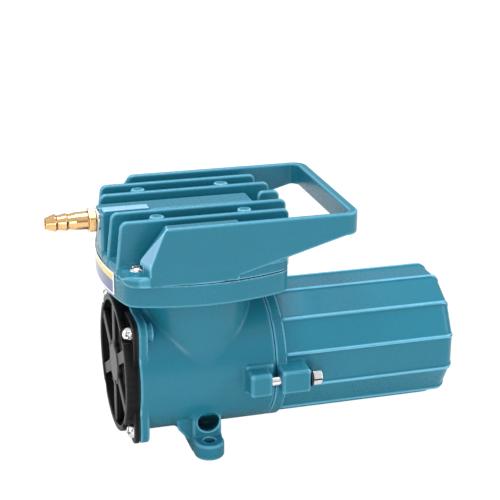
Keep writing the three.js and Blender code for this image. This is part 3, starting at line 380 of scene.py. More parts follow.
@dataclass
class Caster:
    """Makes meshes of forms, with a vertex in each cell of a grid that the surface crosses."""

    datum: Datum
    quick_coarseness: float = 2.0
    margin_cells: float = 1.5
    spare_cells: float = 2.5
    settle_steps: int = 3
    least_slope: float = 0.2
    edge_reach: float = 0.6
    dead_bend: float = 0.12

    def cast(self, name: str, form: Form, low: Sequence[float], high: Sequence[float], cell: float,
             keep: float = 1.0, spaces: dict[str, Form] | None = None) -> bpy.types.Object:
        """Makes a piece of a form.

        Args:
            name: The piece's name.
            form: The solid.
            low: Lowest corner of the space that holds it.
            high: Highest corner of that space.
            cell: Size of the grid's cells.
            keep: Share of the faces that stay once flat stretches are thinned out.
            spaces: Named spaces that its finish tells apart.

        Returns:
            The piece, smooth and with its edges marked, with no finish yet.
        """
        cell = cell * 1.0
        origin = np.array(low, np.float32) - self.margin_cells * cell
        counts = np.ceil((np.array(high) - origin) / cell + self.spare_cells).astype(int)
        axes = [origin[i] + cell * np.arange(counts[i], dtype=np.float32) for i in range(3)]
        values = form(axes[0][:, None, None], axes[1][None, :, None], axes[2][None, None, :])
        values = np.broadcast_to(values, counts).astype(np.float32)
        points, quads = self._net(values, origin, cell)
        for _ in range(self.settle_steps):
            slope, depth, _ = self._slope(form, points, cell / 4)
            size = np.maximum((slope**2).sum(1), self.least_slope)
            step = np.clip(depth / size, -cell / 2, cell / 2)
            points = points - slope * step[:, None]
        mesh = bpy.data.meshes.new(name)
        mesh.from_pydata(self.datum.placed(points).tolist(), [], quads.tolist())
        piece = bpy.data.objects.new(name, mesh)
        bpy.context.scene.collection.objects.link(piece)
        if keep < 1.0:
            self._thin(piece, keep)
        self._mark(piece, form, cell, spaces or {})
        return piece

    @staticmethod
    def _net(values: Array, origin: Array, cell: float) -> tuple[Array, Array]:
        """The surface where a grid of distances changes sign.

        Args:
            values: Distances at the grid's points.
            origin: The grid's first point.
            cell: Size of its cells.

        Returns:
            The vertices, and four of them for each face.
        """
        inside = values < 0
        corners = [inside[a:inside.shape[0] - 1 + a, b:inside.shape[1] - 1 + b, c:inside.shape[2] - 1 + c]
                   for a, b, c in np.ndindex(2, 2, 2)]
        total = sum(corner.astype(np.int8) for corner in corners)
        mixed = (total > 0) & (total < 8)
        cells = np.argwhere(mixed)
        index = np.full(mixed.shape, -1, np.int64)
        index[mixed] = np.arange(len(cells))
        place = np.zeros((len(cells), 3))
        hits = np.zeros(len(cells))
        for a, b in CUBE_EDGES:
            start, end = np.array(a), np.array(b)
            at_start = values[tuple((cells + start).T)]
            at_end = values[tuple((cells + end).T)]
            crossed = (at_start < 0) != (at_end < 0)
            share = at_start[crossed] / (at_start[crossed] - at_end[crossed])
            place[crossed] += start + share[:, None] * (end - start)
            hits += crossed
        points = origin + (cells + place / hits[:, None]) * cell
        quads = []
        for along in range(3):
            u, v = (along + 1) % 3, (along + 2) % 3
            lower = np.take(inside, range(inside.shape[along] - 1), axis=along)
            upper = np.take(inside, range(1, inside.shape[along]), axis=along)
            edges = np.argwhere(lower != upper)
            edges = edges[(edges[:, u] > 0) & (edges[:, v] > 0)]
            edges = edges[(edges[:, u] < mixed.shape[u]) & (edges[:, v] < mixed.shape[v])]
            step_u, step_v = np.eye(3, dtype=int)[u], np.eye(3, dtype=int)[v]
            shifts = (step_u + step_v, step_v, 0 * step_u, step_u)
            faces = np.stack([index[tuple((edges - shift).T)] for shift in shifts], 1)
            outward = lower[tuple(edges.T)]
            quads.append(np.where(outward[:, None], faces, faces[:, ::-1]))
        return points, np.concatenate(quads)

    @staticmethod
    def _slope(form: Form, points: Array, reach: float) -> tuple[Array, Array, Array]:
        """Samples a form about points.

        Args:
            form: The form.
            points: The points, one in each row.
            reach: How far from each the form is sampled.

        Returns:
            The gradient, the distance and the curvature at each point.
        """
        x, y, z = points.T
        depth = form(x, y, z)
        samples = []
        for shift in np.eye(3) * reach:
            ahead = form(x + shift[0], y + shift[1], z + shift[2])
            behind = form(x - shift[0], y - shift[1], z - shift[2])
            samples.append((ahead, behind))
        slope = np.stack([(a - b) / (2 * reach) for a, b in samples], 1)
        bend = (sum(a + b for a, b in samples) - 6 * depth) / reach**2
        return slope, depth, bend

    @staticmethod
    def _thin(piece: bpy.types.Object, keep: float) -> None:
        """Merges the faces of flat stretches.

        Args:
            piece: The piece.
            keep: Share of its faces that stays.
        """
        thinning = piece.modifiers.new("thin", "DECIMATE")
        thinning.ratio = keep
        graph = bpy.context.evaluated_depsgraph_get()
        thinned = bpy.data.meshes.new_from_object(piece.evaluated_get(graph))
        piece.modifiers.remove(thinning)
        old = piece.data
        piece.data = thinned
        thinned.name = piece.name
        bpy.data.meshes.remove(old)

    def _mark(self, piece: bpy.types.Object, form: Form, cell: float, spaces: dict[str, Form]) -> None:
        """Gives a piece smooth normals, and marks edges, hollows and named spaces for its finish.

        Args:
            piece: The piece.
            form: The form that it was made of.
            cell: Size of the grid's cells.
            spaces: The named spaces.
        """
        mesh = piece.data
        places = np.zeros(len(mesh.vertices) * 3, np.float32)
        mesh.vertices.foreach_get("co", places)
        points = (places.reshape(-1, 3) - self.datum.placed(np.zeros(3))) / MILLIMETRE
        slope, _, _ = self._slope(form, points, cell / 3)
        _, _, bend = self._slope(form, points, self.edge_reach)
        normals = slope / np.maximum(np.linalg.norm(slope, axis=1), 1e-6)[:, None]
        mesh.shade_smooth()
        mesh.normals_split_custom_set_from_vertices(normals.tolist())
        bend = bend * self.edge_reach
        marks = {"edge": bend - self.dead_bend, "hollow": -bend - self.dead_bend}
        marks |= {name: 0.5 - space(*points.T) / self.edge_reach for name, space in spaces.items()}
        for name, values in marks.items():
            attribute = mesh.attributes.new(name, "FLOAT", "POINT")
            attribute.data.foreach_set("value", np.clip(values, 0, 1).astype(np.float32))


class Wire:
    """A value in a tree of nodes. Arithmetic on it adds Math nodes."""

    def __init__(self, nodes: Nodes, socket: bpy.types.NodeSocket) -> None:
        """Wraps an output socket of a tree."""
        self.nodes = nodes
        self.socket = socket

    def _with(self, operation: str, *values: Wire | float) -> Wire:
        """The result of a Math node on the given values."""
        return self.nodes.add("ShaderNodeMath", {"operation": operation}, dict(enumerate(values)))

    def __add__(self, other: Wire | float) -> Wire:
        """Sum."""
        return self._with("ADD", self, other)

    __radd__ = __add__

    def __mul__(self, other: Wire | float) -> Wire:
        """Product."""
        return self._with("MULTIPLY", self, other)

    __rmul__ = __mul__

    def __sub__(self, other: Wire | float) -> Wire:
        """Difference."""
        return self._with("SUBTRACT", self, other)

    def __rsub__(self, other: float) -> Wire:
        """Difference, with this value taken away."""
        return self._with("SUBTRACT", other, self)

    def __truediv__(self, other: Wire | float) -> Wire:
        """Quotient."""
        return self._with("DIVIDE", self, other)

    def above(self, level: float) -> Wire:
        """1 where the value is above a level, else 0."""
        return self._with("GREATER_THAN", self, level)

    def or_more(self, other: Wire) -> Wire:
        """The greater of two values."""
        return self._with("MAXIMUM", self, other)

    def size(self) -> Wire:
        """The value without its sign."""
        return self._with("ABSOLUTE", self)

    def clamped(self) -> Wire:
        """The value, held between 0 and 1."""
        return self.nodes.add("ShaderNodeClamp", {}, {"Value": self})


Colour = tuple[float, float, float]


class Nodes:
    """A tree whose nodes are added one by one."""

    def __init__(self, tree: bpy.types.NodeTree) -> None:
        """Empties the tree."""
        self.tree = tree
        self.tree.nodes.clear()

    def add(self, kind: str, settings: dict | None = None, inputs: dict | None = None,
            output: str | int = 0) -> Wire:
        """Adds a node.

        Args:
            kind: The node's type.
            settings: Its own settings, set first.
            inputs: Values or wires of its sockets, by name or number.
            output: Which of its outputs is wanted.

        Returns:
            The wanted output.
        """
        node = self.tree.nodes.new(kind)
        for name, value in (settings or {}).items():
            setattr(node, name, value)
        for name, value in (inputs or {}).items():
            if isinstance(value, Wire):
                self.tree.links.new(value.socket, node.inputs[name])
            elif isinstance(value, tuple) and node.inputs[name].type == "RGBA":
                node.inputs[name].default_value = (*value, 1.0)
            else:
                node.inputs[name].default_value = value
        return Wire(self, node.outputs[output])

    def close(self, kind: str, surface: Wire) -> None:
        """Ends the tree in an output node of a kind."""
        self.tree.links.new(surface.socket, self.tree.nodes.new(kind).inputs["Surface"])


class Shader(Nodes):
    """The nodes of a material."""

    def __init__(self, name: str) -> None:
        """Makes an empty material."""
        self.material = bpy.data.materials.new(name)
        self.material.use_nodes = True
        super().__init__(self.material.node_tree)

    def places(self) -> Wire:
        """The place on the piece, in metres."""
        return self.add("ShaderNodeTexCoord", output="Object")

    def place(self, axis: str) -> Wire:
        """The place on the piece along one axis, in metres."""
        return self.add("ShaderNodeSeparateXYZ", {}, {"Vector": self.places()}, axis)

    def noise(self, size: float, detail: float = 3.0, roughness: float = 0.5) -> Wire:
        """Cloudy noise whose patches are about a size in millimetres."""
        return self.add("ShaderNodeTexNoise", {}, {
            "Vector": self.places(), "Scale": 1 / (size * MILLIMETRE), "Detail": detail,
            "Roughness": roughness,
        }, "Fac")

    def marked(self, name: str) -> Wire:
        """A mark that the piece's vertices carry."""
        return self.add("ShaderNodeAttribute", {"attribute_name": name}, output="Fac")

    def mixed(self, factor: Wire | float, first: Wire | Colour, second: Wire | Colour) -> Wire:
        """A colour between two."""
        return self.add("ShaderNodeMix", {"data_type": "RGBA"}, {0: factor, 6: first, 7: second}, 2)

    def drifting(self, cloud: Wire, colour: Colour, share: float) -> Wire:
        """A colour that grows darker and lighter by a share with a cloudy value."""
        dark, light = (tuple(c * factor for c in colour) for factor in (1 - share, 1 + share))
        return self.mixed(cloud, dark, light)

    def bump(self, height: Wire, depth: float, strength: float = 1.0) -> Wire:
        """A normal for a relief of a depth in millimetres."""
        return self.add("ShaderNodeBump", {}, {
            "Height": height, "Distance": depth * MILLIMETRE, "Strength": strength,
        })

    def finish(self, **sockets: Wire | float | Colour) -> bpy.types.Material:
        """Ends the shader in a Principled surface.

        Args:
            sockets: Values or wires of the surface's sockets, by their names in lower case.

        Returns:
            The material.
        """
        named = {key.replace("_", " ").title().replace("Ior", "IOR"): value for key, value in sockets.items()}
        self.close("ShaderNodeOutputMaterial", self.add("ShaderNodeBsdfPrincipled", {}, named))
        return self.material


def tone(red: int, green: int, blue: int) -> Colour:
    """A colour for shaders.

    Args:
        red: Its red as it shows on a screen, to 255.
        green: Its green.
        blue: Its blue.

    Returns:
        The linear values that shaders take.
    """
    shares = [value / 255 for value in (red, green, blue)]
    linear = [s / 12.92 if s <= 0.04045 else ((s + 0.055) / 1.055) ** 2.4 for s in shares]
    return linear[0], linear[1], linear[2]


@dataclass(frozen=True)
class Enamel:
    """Gloss enamel on a casting: fine orange peel, edges lightened by thin paint and a painted highlight,
    hollows darkened and dulled by dust and painted shade, painted shade in marked holes and a painted
    reflection on marked faces.
    """

    name: str = "teal_enamel"
    colour: Colour = tone(31, 111, 133)
    painted_reflection_colour: Colour = tone(150, 192, 222)
    shade_colour: Colour = tone(10, 34, 42)
    thin_paint_and_highlight_colour: Colour = tone(126, 204, 234)
    dust_and_shade_colour: Colour = tone(26, 84, 106)
    drift: float = 0.07
    cloud_size: float = 28.0
    peel_size: float = 1.3
    grain_size: float = 0.35
    wear_and_highlight_size: float = 4.0
    dust_and_shade_size: float = 6.0
    relief: float = 0.02
    roughness: float = 0.28
    sheen: float = 0.25
    coat_roughness: float = 0.15

    def material(self) -> bpy.types.Material:
        """Makes the enamel's material."""
        shader = Shader(self.name)
        peel, grain = shader.noise(self.peel_size, 2), shader.noise(self.grain_size, 2)
        body = shader.drifting(shader.noise(self.cloud_size), self.colour, self.drift)
        # Convex edges are lightened: thin paint and wear, together with a painted highlight.
        worn_and_highlit = (shader.marked("edge") * (0.7 + shader.noise(self.wear_and_highlight_size) * 0.5)).clamped()
        # Hollows are darkened and dulled: dust, together with painted shade.
        dust_and_shade = (shader.marked("hollow") * (0.3 + shader.noise(self.dust_and_shade_size) * 0.7)).clamped()
        colour = shader.mixed(worn_and_highlit * 0.8, body, self.thin_paint_and_highlight_colour)
        colour = shader.mixed(dust_and_shade * 0.5, colour, self.dust_and_shade_colour)
        colour = shader.mixed(shader.marked("shade") * 0.85, colour, self.shade_colour)
        # A painted reflection of the lamps lightens the pad's top and the near facet.
        colour = shader.mixed(shader.marked("pale") * 0.8, colour, self.painted_reflection_colour)
        relief = shader.bump(peel * 0.8 + grain * 0.2, self.relief, 0.6)
        rough = self.roughness + (peel - 0.5) * 0.06 + dust_and_shade * 0.25
        return shader.finish(base_color=colour, roughness=rough, normal=relief, coat_weight=self.sheen / 4,
                             coat_roughness=self.coat_roughness, specular_ior_level=self.sheen)


@dataclass(frozen=True)
class Plastic:
    """Moulded plastic with a fine spark texture, and edges lightened by rubbed wear and a painted highlight.
    """

    name: str
    colour: Colour
    rubbed_and_highlight_colour: Colour
    roughness: float = 0.42
    sheen: float = 0.5
    grain: float = 0.5
    drift: float = 0.15
    cloud_size: float = 14.0
    relief: float = 0.03

    def material(self) -> bpy.types.Material:
        """Makes the plastic's material."""
        shader = Shader(self.name)
        fine, cloud = shader.noise(self.grain, 4, 0.6), shader.noise(self.cloud_size)
        # Edges are lightened: rubbed wear, together with a painted highlight.
        rubbed_and_highlit = (shader.marked("edge") * (0.25 + cloud * 0.6)).clamped()
        colour = shader.mixed(rubbed_and_highlit, shader.drifting(cloud, self.colour, self.drift), self.rubbed_and_highlight_colour)
        rough = self.roughness + (fine - 0.5) * 0.16 - rubbed_and_highlit * 0.08
        return shader.finish(base_color=colour, roughness=rough, normal=shader.bump(fine, self.relief, 0.7),
                             specular_ior_level=self.sheen)


@dataclass(frozen=True)
class Metal:
    """Bare or plated metal with faint turning or grinding marks and tarnish in hollows."""

    name: str
    colour: Colour
    tarnish: Colour
    roughness: float = 0.22
    marks: float = 0.35
    stretch: Point = (1.0, 1.0, 1.0)
    stain_size: float = 3.0
    relief: float = 0.01

    def material(self) -> bpy.types.Material:
        """Makes the metal's material."""
        shader = Shader(self.name)
        stretched = shader.add("ShaderNodeMapping", {}, {"Vector": shader.places(), "Scale": self.stretch})
        lines = shader.add("ShaderNodeTexNoise", {}, {
            "Vector": stretched, "Scale": 1 / (self.marks * MILLIMETRE), "Detail": 3.0,
        }, "Fac")
        stain = (shader.noise(self.stain_size, 4) - 0.5).clamped()
        aged = (shader.marked("hollow") * 0.7 + stain * 0.9).clamped()
        rough = self.roughness + (lines - 0.5) * 0.18 + aged * 0.2
        return shader.finish(base_color=shader.mixed(aged, self.colour, self.tarnish), roughness=rough,
                             metallic=1.0, normal=shader.bump(lines, self.relief, 0.4))


@dataclass(frozen=True)
class Soft:
    """Rubber, foam or carbon: dull, with pores."""

    name: str
    colour: Colour
    pore: float = 0.8
    depth: float = 0.08
    roughness: float = 0.8
    drift: float = 0.25

    def material(self) -> bpy.types.Material:
        """Makes the soft material."""
        shader = Shader(self.name)
        pores, cloud = shader.noise(self.pore, 5, 0.7), shader.noise(self.pore * 9)
        body = shader.drifting(cloud, self.colour, self.drift)
        colour = shader.mixed((pores * 1.6 - 0.5).clamped(), tuple(c / 2 for c in self.colour), body)
        return shader.finish(base_color=colour, roughness=self.roughness + (pores - 0.5) * 0.2,
                             normal=shader.bump(pores, self.depth, 0.8))


@dataclass(frozen=True)
class LabelFilm:
    """Printed film with plain bands: a white border, a yellow band over a violet-blue one."""

    low: float
    high: float
    half_width: float
    name: str = "label_film"
    border: float = 0.9
    yellow_share: float = 0.36
    white: Colour = tone(236, 236, 238)
    yellow: Colour = tone(214, 192, 84)
    violet: Colour = tone(58, 62, 128)
    grain: float = 0.6
    roughness: float = 0.32
    relief: float = 0.01
    gloss: float = 0.4

    def material(self) -> bpy.types.Material:
        """Makes the film's material."""
        shader = Shader(self.name)
        rise = (shader.place("Z") / MILLIMETRE - self.low) / (self.high - self.low)
        margin = self.border / (self.high - self.low)
        bands = shader.mixed(rise.above(1 - self.yellow_share), self.violet, self.yellow)
        framed = rise.above(margin) * (1 - rise.above(1 - margin))
        side = shader.place("Y").size().above((self.half_width - self.border) * MILLIMETRE)
        printed = shader.mixed(framed * (1 - side), self.white, bands)
        grain = shader.noise(self.grain, 3)
        colour = shader.mixed((grain - 0.4).clamped() * 0.25, printed, self.white)
        return shader.finish(base_color=colour, roughness=self.roughness + (grain - 0.5) * 0.1,
                             normal=shader.bump(grain, self.relief, 0.3), coat_weight=self.gloss)


class Finishes:
    """Every finish on the pump, made once."""

    def __init__(self, label: LabelFilm) -> None:
        """Makes the materials.

        Args:
            label: The film of the name label, which is fitted to its size.
        """
        self.enamel = Enamel().material()
        self.cover = Plastic("cover_plastic", tone(6, 6, 7), tone(70, 71, 74), 0.34, 0.1).material()
        self.disc = Plastic("disc_plastic", tone(80, 81, 82), tone(112, 112, 112), 0.6).material()
        self.white = Plastic("white_plastic", tone(226, 226, 222), tone(240, 240, 238), 0.4).material()
        self.chrome = Metal("plated_steel", tone(226, 226, 228), tone(120, 120, 124), 0.16).material()
        self.steel = Metal("ground_steel", tone(176, 178, 182), tone(98, 98, 100), 0.32,
                           stretch=(0.2, 1.0, 1.0)).material()
        self.dark_steel = Metal("dark_steel", tone(58, 58, 62), tone(30, 28, 28), 0.4).material()
        self.aluminium = Metal("turned_aluminium", tone(196, 198, 202), tone(128, 128, 130), 0.34).material()
        self.brass = Metal("turned_brass", tone(224, 182, 130), tone(120, 78, 38), 0.16, 0.3,
                           (4.0, 0.3, 0.3)).material()
        self.copper = Metal("enamelled_copper", tone(186, 104, 62), tone(96, 48, 30), 0.3, 0.5,
                            (0.3, 1.0, 1.0)).material()
        self.rubber = Soft("nitrile_rubber", tone(26, 26, 27)).material()
        self.graphite = Soft("pressed_carbon", tone(44, 44, 46), 0.5, 0.03, 0.6).material()
        self.ferrite = Soft("sintered_ferrite", tone(54, 55, 60), 0.6, 0.04, 0.7).material()
        self.foam = Soft("filter_foam", tone(38, 38, 37), 1.4, 0.9, 0.95).material()
        self.label = label.material()


@dataclass
class SubAssembly:
    """Common ways of a sub-assembly: it casts its pieces and dresses them."""

    datum: Datum
    finishes: Finishes
    body: str = "housing"
    made: list[bpy.types.Object] = field(default_factory=list)

    def caster(self) -> Caster:
        """The maker of this sub-assembly's meshes."""
        return Caster(self.datum)

    def dress(self, piece: bpy.types.Object, finish: bpy.types.Material, slot: str, *nodes: str) -> None:
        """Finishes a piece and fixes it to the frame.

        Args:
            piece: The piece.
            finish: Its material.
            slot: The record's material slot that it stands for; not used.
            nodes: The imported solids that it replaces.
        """
        piece.data.materials.clear()
        piece.data.materials.append(finish)
        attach(piece, self.body)
        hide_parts(*nodes)
        self.made.append(piece)


@dataclass(frozen=True)
class Bow:
    """The bowed square outline that flange, gasket and head share."""

    half_x: float = 49.9
    half_y: float = 48.3
    radius: float = 113.0
    corner: float = 10.0

    def outline(self, grow: float = 0.0) -> Outline:
        """The bowed square.

        Args:
            grow: How far it is grown outwards.

        Returns:
            Its outline.
        """
        shift_x, shift_y = self.half_x - self.radius, self.half_y - self.radius
        apart = math.hypot(shift_x, shift_y) / 2
        share = math.sqrt((self.radius - self.corner) ** 2 - apart**2) / apart
        knuckle_x, knuckle_y = (shift_x - share * shift_y) / 2, (shift_y - share * shift_x) / 2
        turn_x, turn_y = knuckle_y / (knuckle_x - shift_x), knuckle_x / (knuckle_y - shift_y)

        def distance(x: Array, y: Array) -> Array:
            a, b = np.abs(x), np.abs(y)
            front = np.hypot(a - shift_x, b) - self.radius
            side = np.hypot(a, b - shift_y) - self.radius
            corner = np.hypot(a - knuckle_x, b - knuckle_y) - self.corner
            straight = np.where(b <= (a - shift_x) * turn_x, front, corner)
            return np.where(a <= (b - shift_y) * turn_y, side, straight) - grow

        return distance

    def reach(self, across: float) -> float:
        """How far the front or rear reaches at a distance from its middle."""
        return self.half_x - self.radius + math.sqrt(self.radius**2 - across**2)


BOW = Bow()


@dataclass(frozen=True)
class Bolting:
    """Where the fasteners stand, and their holes, which the pieces that they join share."""

    cover: float = 28.5
    corner: float = 37.6
    post_x: float = 23.5
    post_y: float = 23.7
    lug_y: float = 44.5
    lug_z: float = -1.0
    lug_reach: float = 49.5
    lug_half: float = 6.6
    cover_hole: float = 2.2
    corner_hole: float = 2.3
    bolt_hole: float = 2.8

    def lug(self, start: float, length: float, inner: float, edge: float) -> Form:
        """The lugs of both sides that the motor's bolts pass through.

        Args:
            start: Where they start along the shaft.
            length: Their length along it.
            inner: How far from the shaft they begin.
            edge: Radius of their edges.

        Returns:
            The lugs, without their holes.
        """
        low = (start, inner, self.lug_z - self.lug_half)
        return block(low, (start + length, self.lug_reach, self.lug_z + self.lug_half), edge).mirrored(Axis.Y)


BOLTING = Bolting()


@dataclass
class Crankcase(SubAssembly):
    """The cast crankcase: barrel, front flange, neck, top flange, feet and front lugs."""

    cell: float = 0.62
    keep: float = 0.7
    barrel_radius: float = 38.5
    barrel_edge: float = 1.1
    chamber_radius: float = 34.0
    front_x: float = -36.6
    seam_x: float = 38.0
    mouth_thickness: float = 5.0
    mouth_half: float = 35.5
    mouth_corner: float = 7.0
    mouth_edge: float = 1.0
    boss_radius: float = 5.0
    boss_root: float = 3.0
    boss_length: float = 3.5
    front_fillet: float = 1.3
    boss_fillet: float = 1.2
    neck_half_x: float = 30.5
    neck_half_y: float = 36.2
    neck_power: float = 2.1
    neck_flare: float = 1.5
    neck_fillet: float = 3.2
    flange_low: float = 48.0
    flange_top: float = 60.3
    flange_edge: float = 1.4
    seat_edge: float = 0.4
    lug_front: float = 20.7
    lug_length: float = 12.3
    lug_inner: float = 32.0
    lug_edge: float = 2.0
    pad_length: float = 16.0
    pad_reach: float = 40.6
    pad_rise: float = 1.6
    pad_edge: float = 1.8
    foot_x: float = 1.0
    foot_half: float = 8.2
    foot_edge: float = 1.3
    foot_fillet: float = 2.2
    tab_top: float = 8.8
    tab_reach: float = 44.5
    block_reach: float = 32.0
    foot_inner: float = 13.0
    block_top: float = -18.5
    block_edge: float = 1.6
    gusset_front: float = -15.0
    gusset_top: float = -26.0
    gusset_inset: float = 3.0
    gusset_fall: float = 14.0
    gusset_edge: float = 1.2
    body_fillet: float = 1.5
    lug_fillet: float = 1.6
    core_radius: float = 6.1
    core_shift: float = 0.9
    core_drop: float = 27.0
    core_depth: float = 18.0
    screw_hole: float = 3.3
    screw_depth_x: float = -31.75
    web_front: float = 14.0
    web_rear: float = 19.0
    web_boss: float = 19.0
    web_boss_end: float = 26.15
    liner_seat: tuple[float, float] = (24.8, 37.7)
    liner_bore: float = 22.3
    bearing_seat: tuple[float, float] = (15.3, 17.0)
    shaft_bore: tuple[float, float, float] = (12.0, 12.0, 21.0)
    lug_hole_x: float = 23.7

    def _neck(self) -> Form:
        """The column under the top flange."""
        power = self.neck_power

        def distance(x: Array, y: Array, z: Array) -> Array:
            flare = np.clip(z / self.flange_low, 0, 1) ** 2 * self.neck_flare
            half_x, half_y = self.neck_half_x + flare, self.neck_half_y + flare / 2
            spread = (np.abs(x / half_x) ** power + np.abs(y / half_y) ** power) ** (1 / power)
            wall = (1 - 1 / np.maximum(spread, 0.05)) * np.hypot(x, y)
            return np.maximum(wall, np.maximum(z - self.flange_low - 2 * OVERRUN, -z))

        return Form(distance)

    def _core(self, radius: float, reach: float) -> Form:
        """The space of the cored hole over the far foot, up to a reach."""
        return rod(Axis.Y, radius, self.block_reach - self.core_depth, reach, 0,
                   self.foot_x + self.core_shift, -self.core_drop)

    def _foot(self, floor: float) -> Form:
        """The far foot, with its gusset, cored hole and screw hole.

        Args:
            floor: Height of its underside.

        Returns:
            The foot.
        """
        low, high = self.foot_x - self.foot_half, self.foot_x + self.foot_half
        tab_centre, top = self.tab_reach - self.foot_half, floor + self.tab_top
        tab = prism(Axis.Z, disc(self.foot_half, self.foot_x, tab_centre), floor, top, self.foot_edge)
        tongue = block((low, self.foot_inner, floor), (high, tab_centre, top), self.foot_edge)
        trunk = block((low, self.foot_inner, floor), (high, self.block_reach, self.block_top),
                      self.block_edge)
        gusset = block((self.gusset_front, self.foot_inner, floor),
                       (self.foot_x, self.block_reach - self.gusset_inset, self.gusset_top), self.gusset_edge)
        fall = half_space((-2 * self.foot_half, 0, -self.gusset_fall), (low, 0, floor + self.tab_top / 2))
        foot = (tab | tongue).filleted(trunk, self.gusset_edge)
        foot = foot.filleted(gusset.trimmed(fall, self.gusset_edge), self.body_fillet)
        hole = rod(Axis.Z, self.screw_hole, floor - OVERRUN, top + OVERRUN, 0, self.foot_x, tab_centre)
        return foot.bored(self._core(self.core_radius, self.block_reach + 2 * OVERRUN), 0.7).bored(hole, 0.4)

    def _lugs(self) -> Form:
        """The lugs with the pads behind them."""
        low, high = BOLTING.lug_z - BOLTING.lug_half, BOLTING.lug_z + BOLTING.lug_half
        rear = self.seam_x - self.pad_rise
        pad = block((rear - self.pad_length, self.lug_inner, low - self.pad_rise),
                    (rear, self.pad_reach, high + self.pad_rise), self.pad_edge)
        lug = BOLTING.lug(self.lug_front, self.lug_length, self.lug_inner, self.lug_edge)
        return pad.mirrored(Axis.Y).filleted(lug, 0.8)

    def form(self) -> Form:
        """The whole casting."""
        floor = -self.datum.shaft_z / MILLIMETRE
        mouth_end = self.front_x + self.mouth_thickness
        barrel = rod(Axis.X, self.barrel_radius, self.front_x, self.seam_x, self.barrel_edge)
        mouth = prism(Axis.X, rectangle(self.mouth_half, self.mouth_half, self.mouth_corner),
                      self.front_x, mouth_end, self.mouth_edge)
        bosses = rod(Axis.X, self.boss_radius, mouth_end - self.boss_root, mouth_end + self.boss_length,
                     self.mouth_edge, BOLTING.cover, BOLTING.cover).mirrored(Axis.Y)
        flange = prism(Axis.Z, BOW.outline(), self.flange_low, self.flange_top + OVERRUN + 1,
                       self.flange_edge)
        flange = flange.trimmed(half_space((0, 0, 1), (0, 0, self.flange_top)), self.seat_edge)
        body = barrel.filleted(mouth, self.front_fillet).filleted(bosses, self.boss_fillet)
        body = body.filleted(self._foot(floor).mirrored(Axis.Y), self.foot_fillet)
        body = body.filleted(self._lugs(), self.lug_fillet)
        body = body & half_space((-1, 0, 0), (self.front_x, 0, 0))
        body = body & half_space((1, 0, 0), (self.seam_x, 0, 0))
        body = body.filleted(self._neck().filleted(flange, self.neck_fillet), self.body_fillet)
        body = body & half_space((0, 0, 1), (0, 0, self.flange_top)) & half_space((0, 0, -1), (0, 0, floor))
        return body - self._hollows()

    def _hollows(self) -> Form:
        """The chamber, the motor's mouth, the seats and the screw holes."""
        front, rear, top = self.front_x - OVERRUN, self.seam_x + OVERRUN, self.flange_top + OVERRUN
        low = self.flange_low - OVERRUN
        boss = rod(Axis.X, self.web_boss, self.web_rear - OVERRUN, self.web_boss_end)
        mouth = rod(Axis.X, self.chamber_radius, self.web_rear, rear) - boss
        middle = bores(
            Bore(Axis.X, self.chamber_radius, front, self.web_front),
            Bore(Axis.Z, *self.liner_seat, top), Bore(Axis.Z, self.liner_bore, 0, self.flange_top),
            Bore(Axis.X, *self.bearing_seat, self.seam_x), Bore(Axis.X, *self.shaft_bore),
        )
        holes = bores(
            Bore(Axis.X, BOLTING.cover_hole, front, self.screw_depth_x, BOLTING.cover, BOLTING.cover),
            Bore(Axis.X, BOLTING.cover_hole, front, self.screw_depth_x, BOLTING.cover, -BOLTING.cover),
            Bore(Axis.Z, BOLTING.corner_hole, low, top, BOLTING.corner, BOLTING.corner),
            Bore(Axis.Z, BOLTING.corner_hole, low, top, -BOLTING.corner, BOLTING.corner),
            Bore(Axis.Z, BOLTING.bolt_hole, low + 2 * OVERRUN, top, BOLTING.post_x, BOLTING.post_y),
            Bore(Axis.Z, BOLTING.bolt_hole, low + 2 * OVERRUN, top, -BOLTING.post_x, BOLTING.post_y),
            Bore(Axis.X, BOLTING.bolt_hole, self.lug_hole_x, rear, BOLTING.lug_y, BOLTING.lug_z),
        )
        return mouth | middle | holes.mirrored(Axis.Y)

    def build(self) -> None:
        """Makes and dresses the crankcase."""
        shade = self._core(self.core_radius + 1, self.block_reach - OVERRUN).mirrored(Axis.Y)
        low, high = self.datum.box("crankcase")
        piece = self.caster().cast("crankcase_casting", self.form(), low, high, self.cell, self.keep,
                                   {"shade": shade})
        self.dress(piece, self.finishes.enamel, "paint", "crankcase")


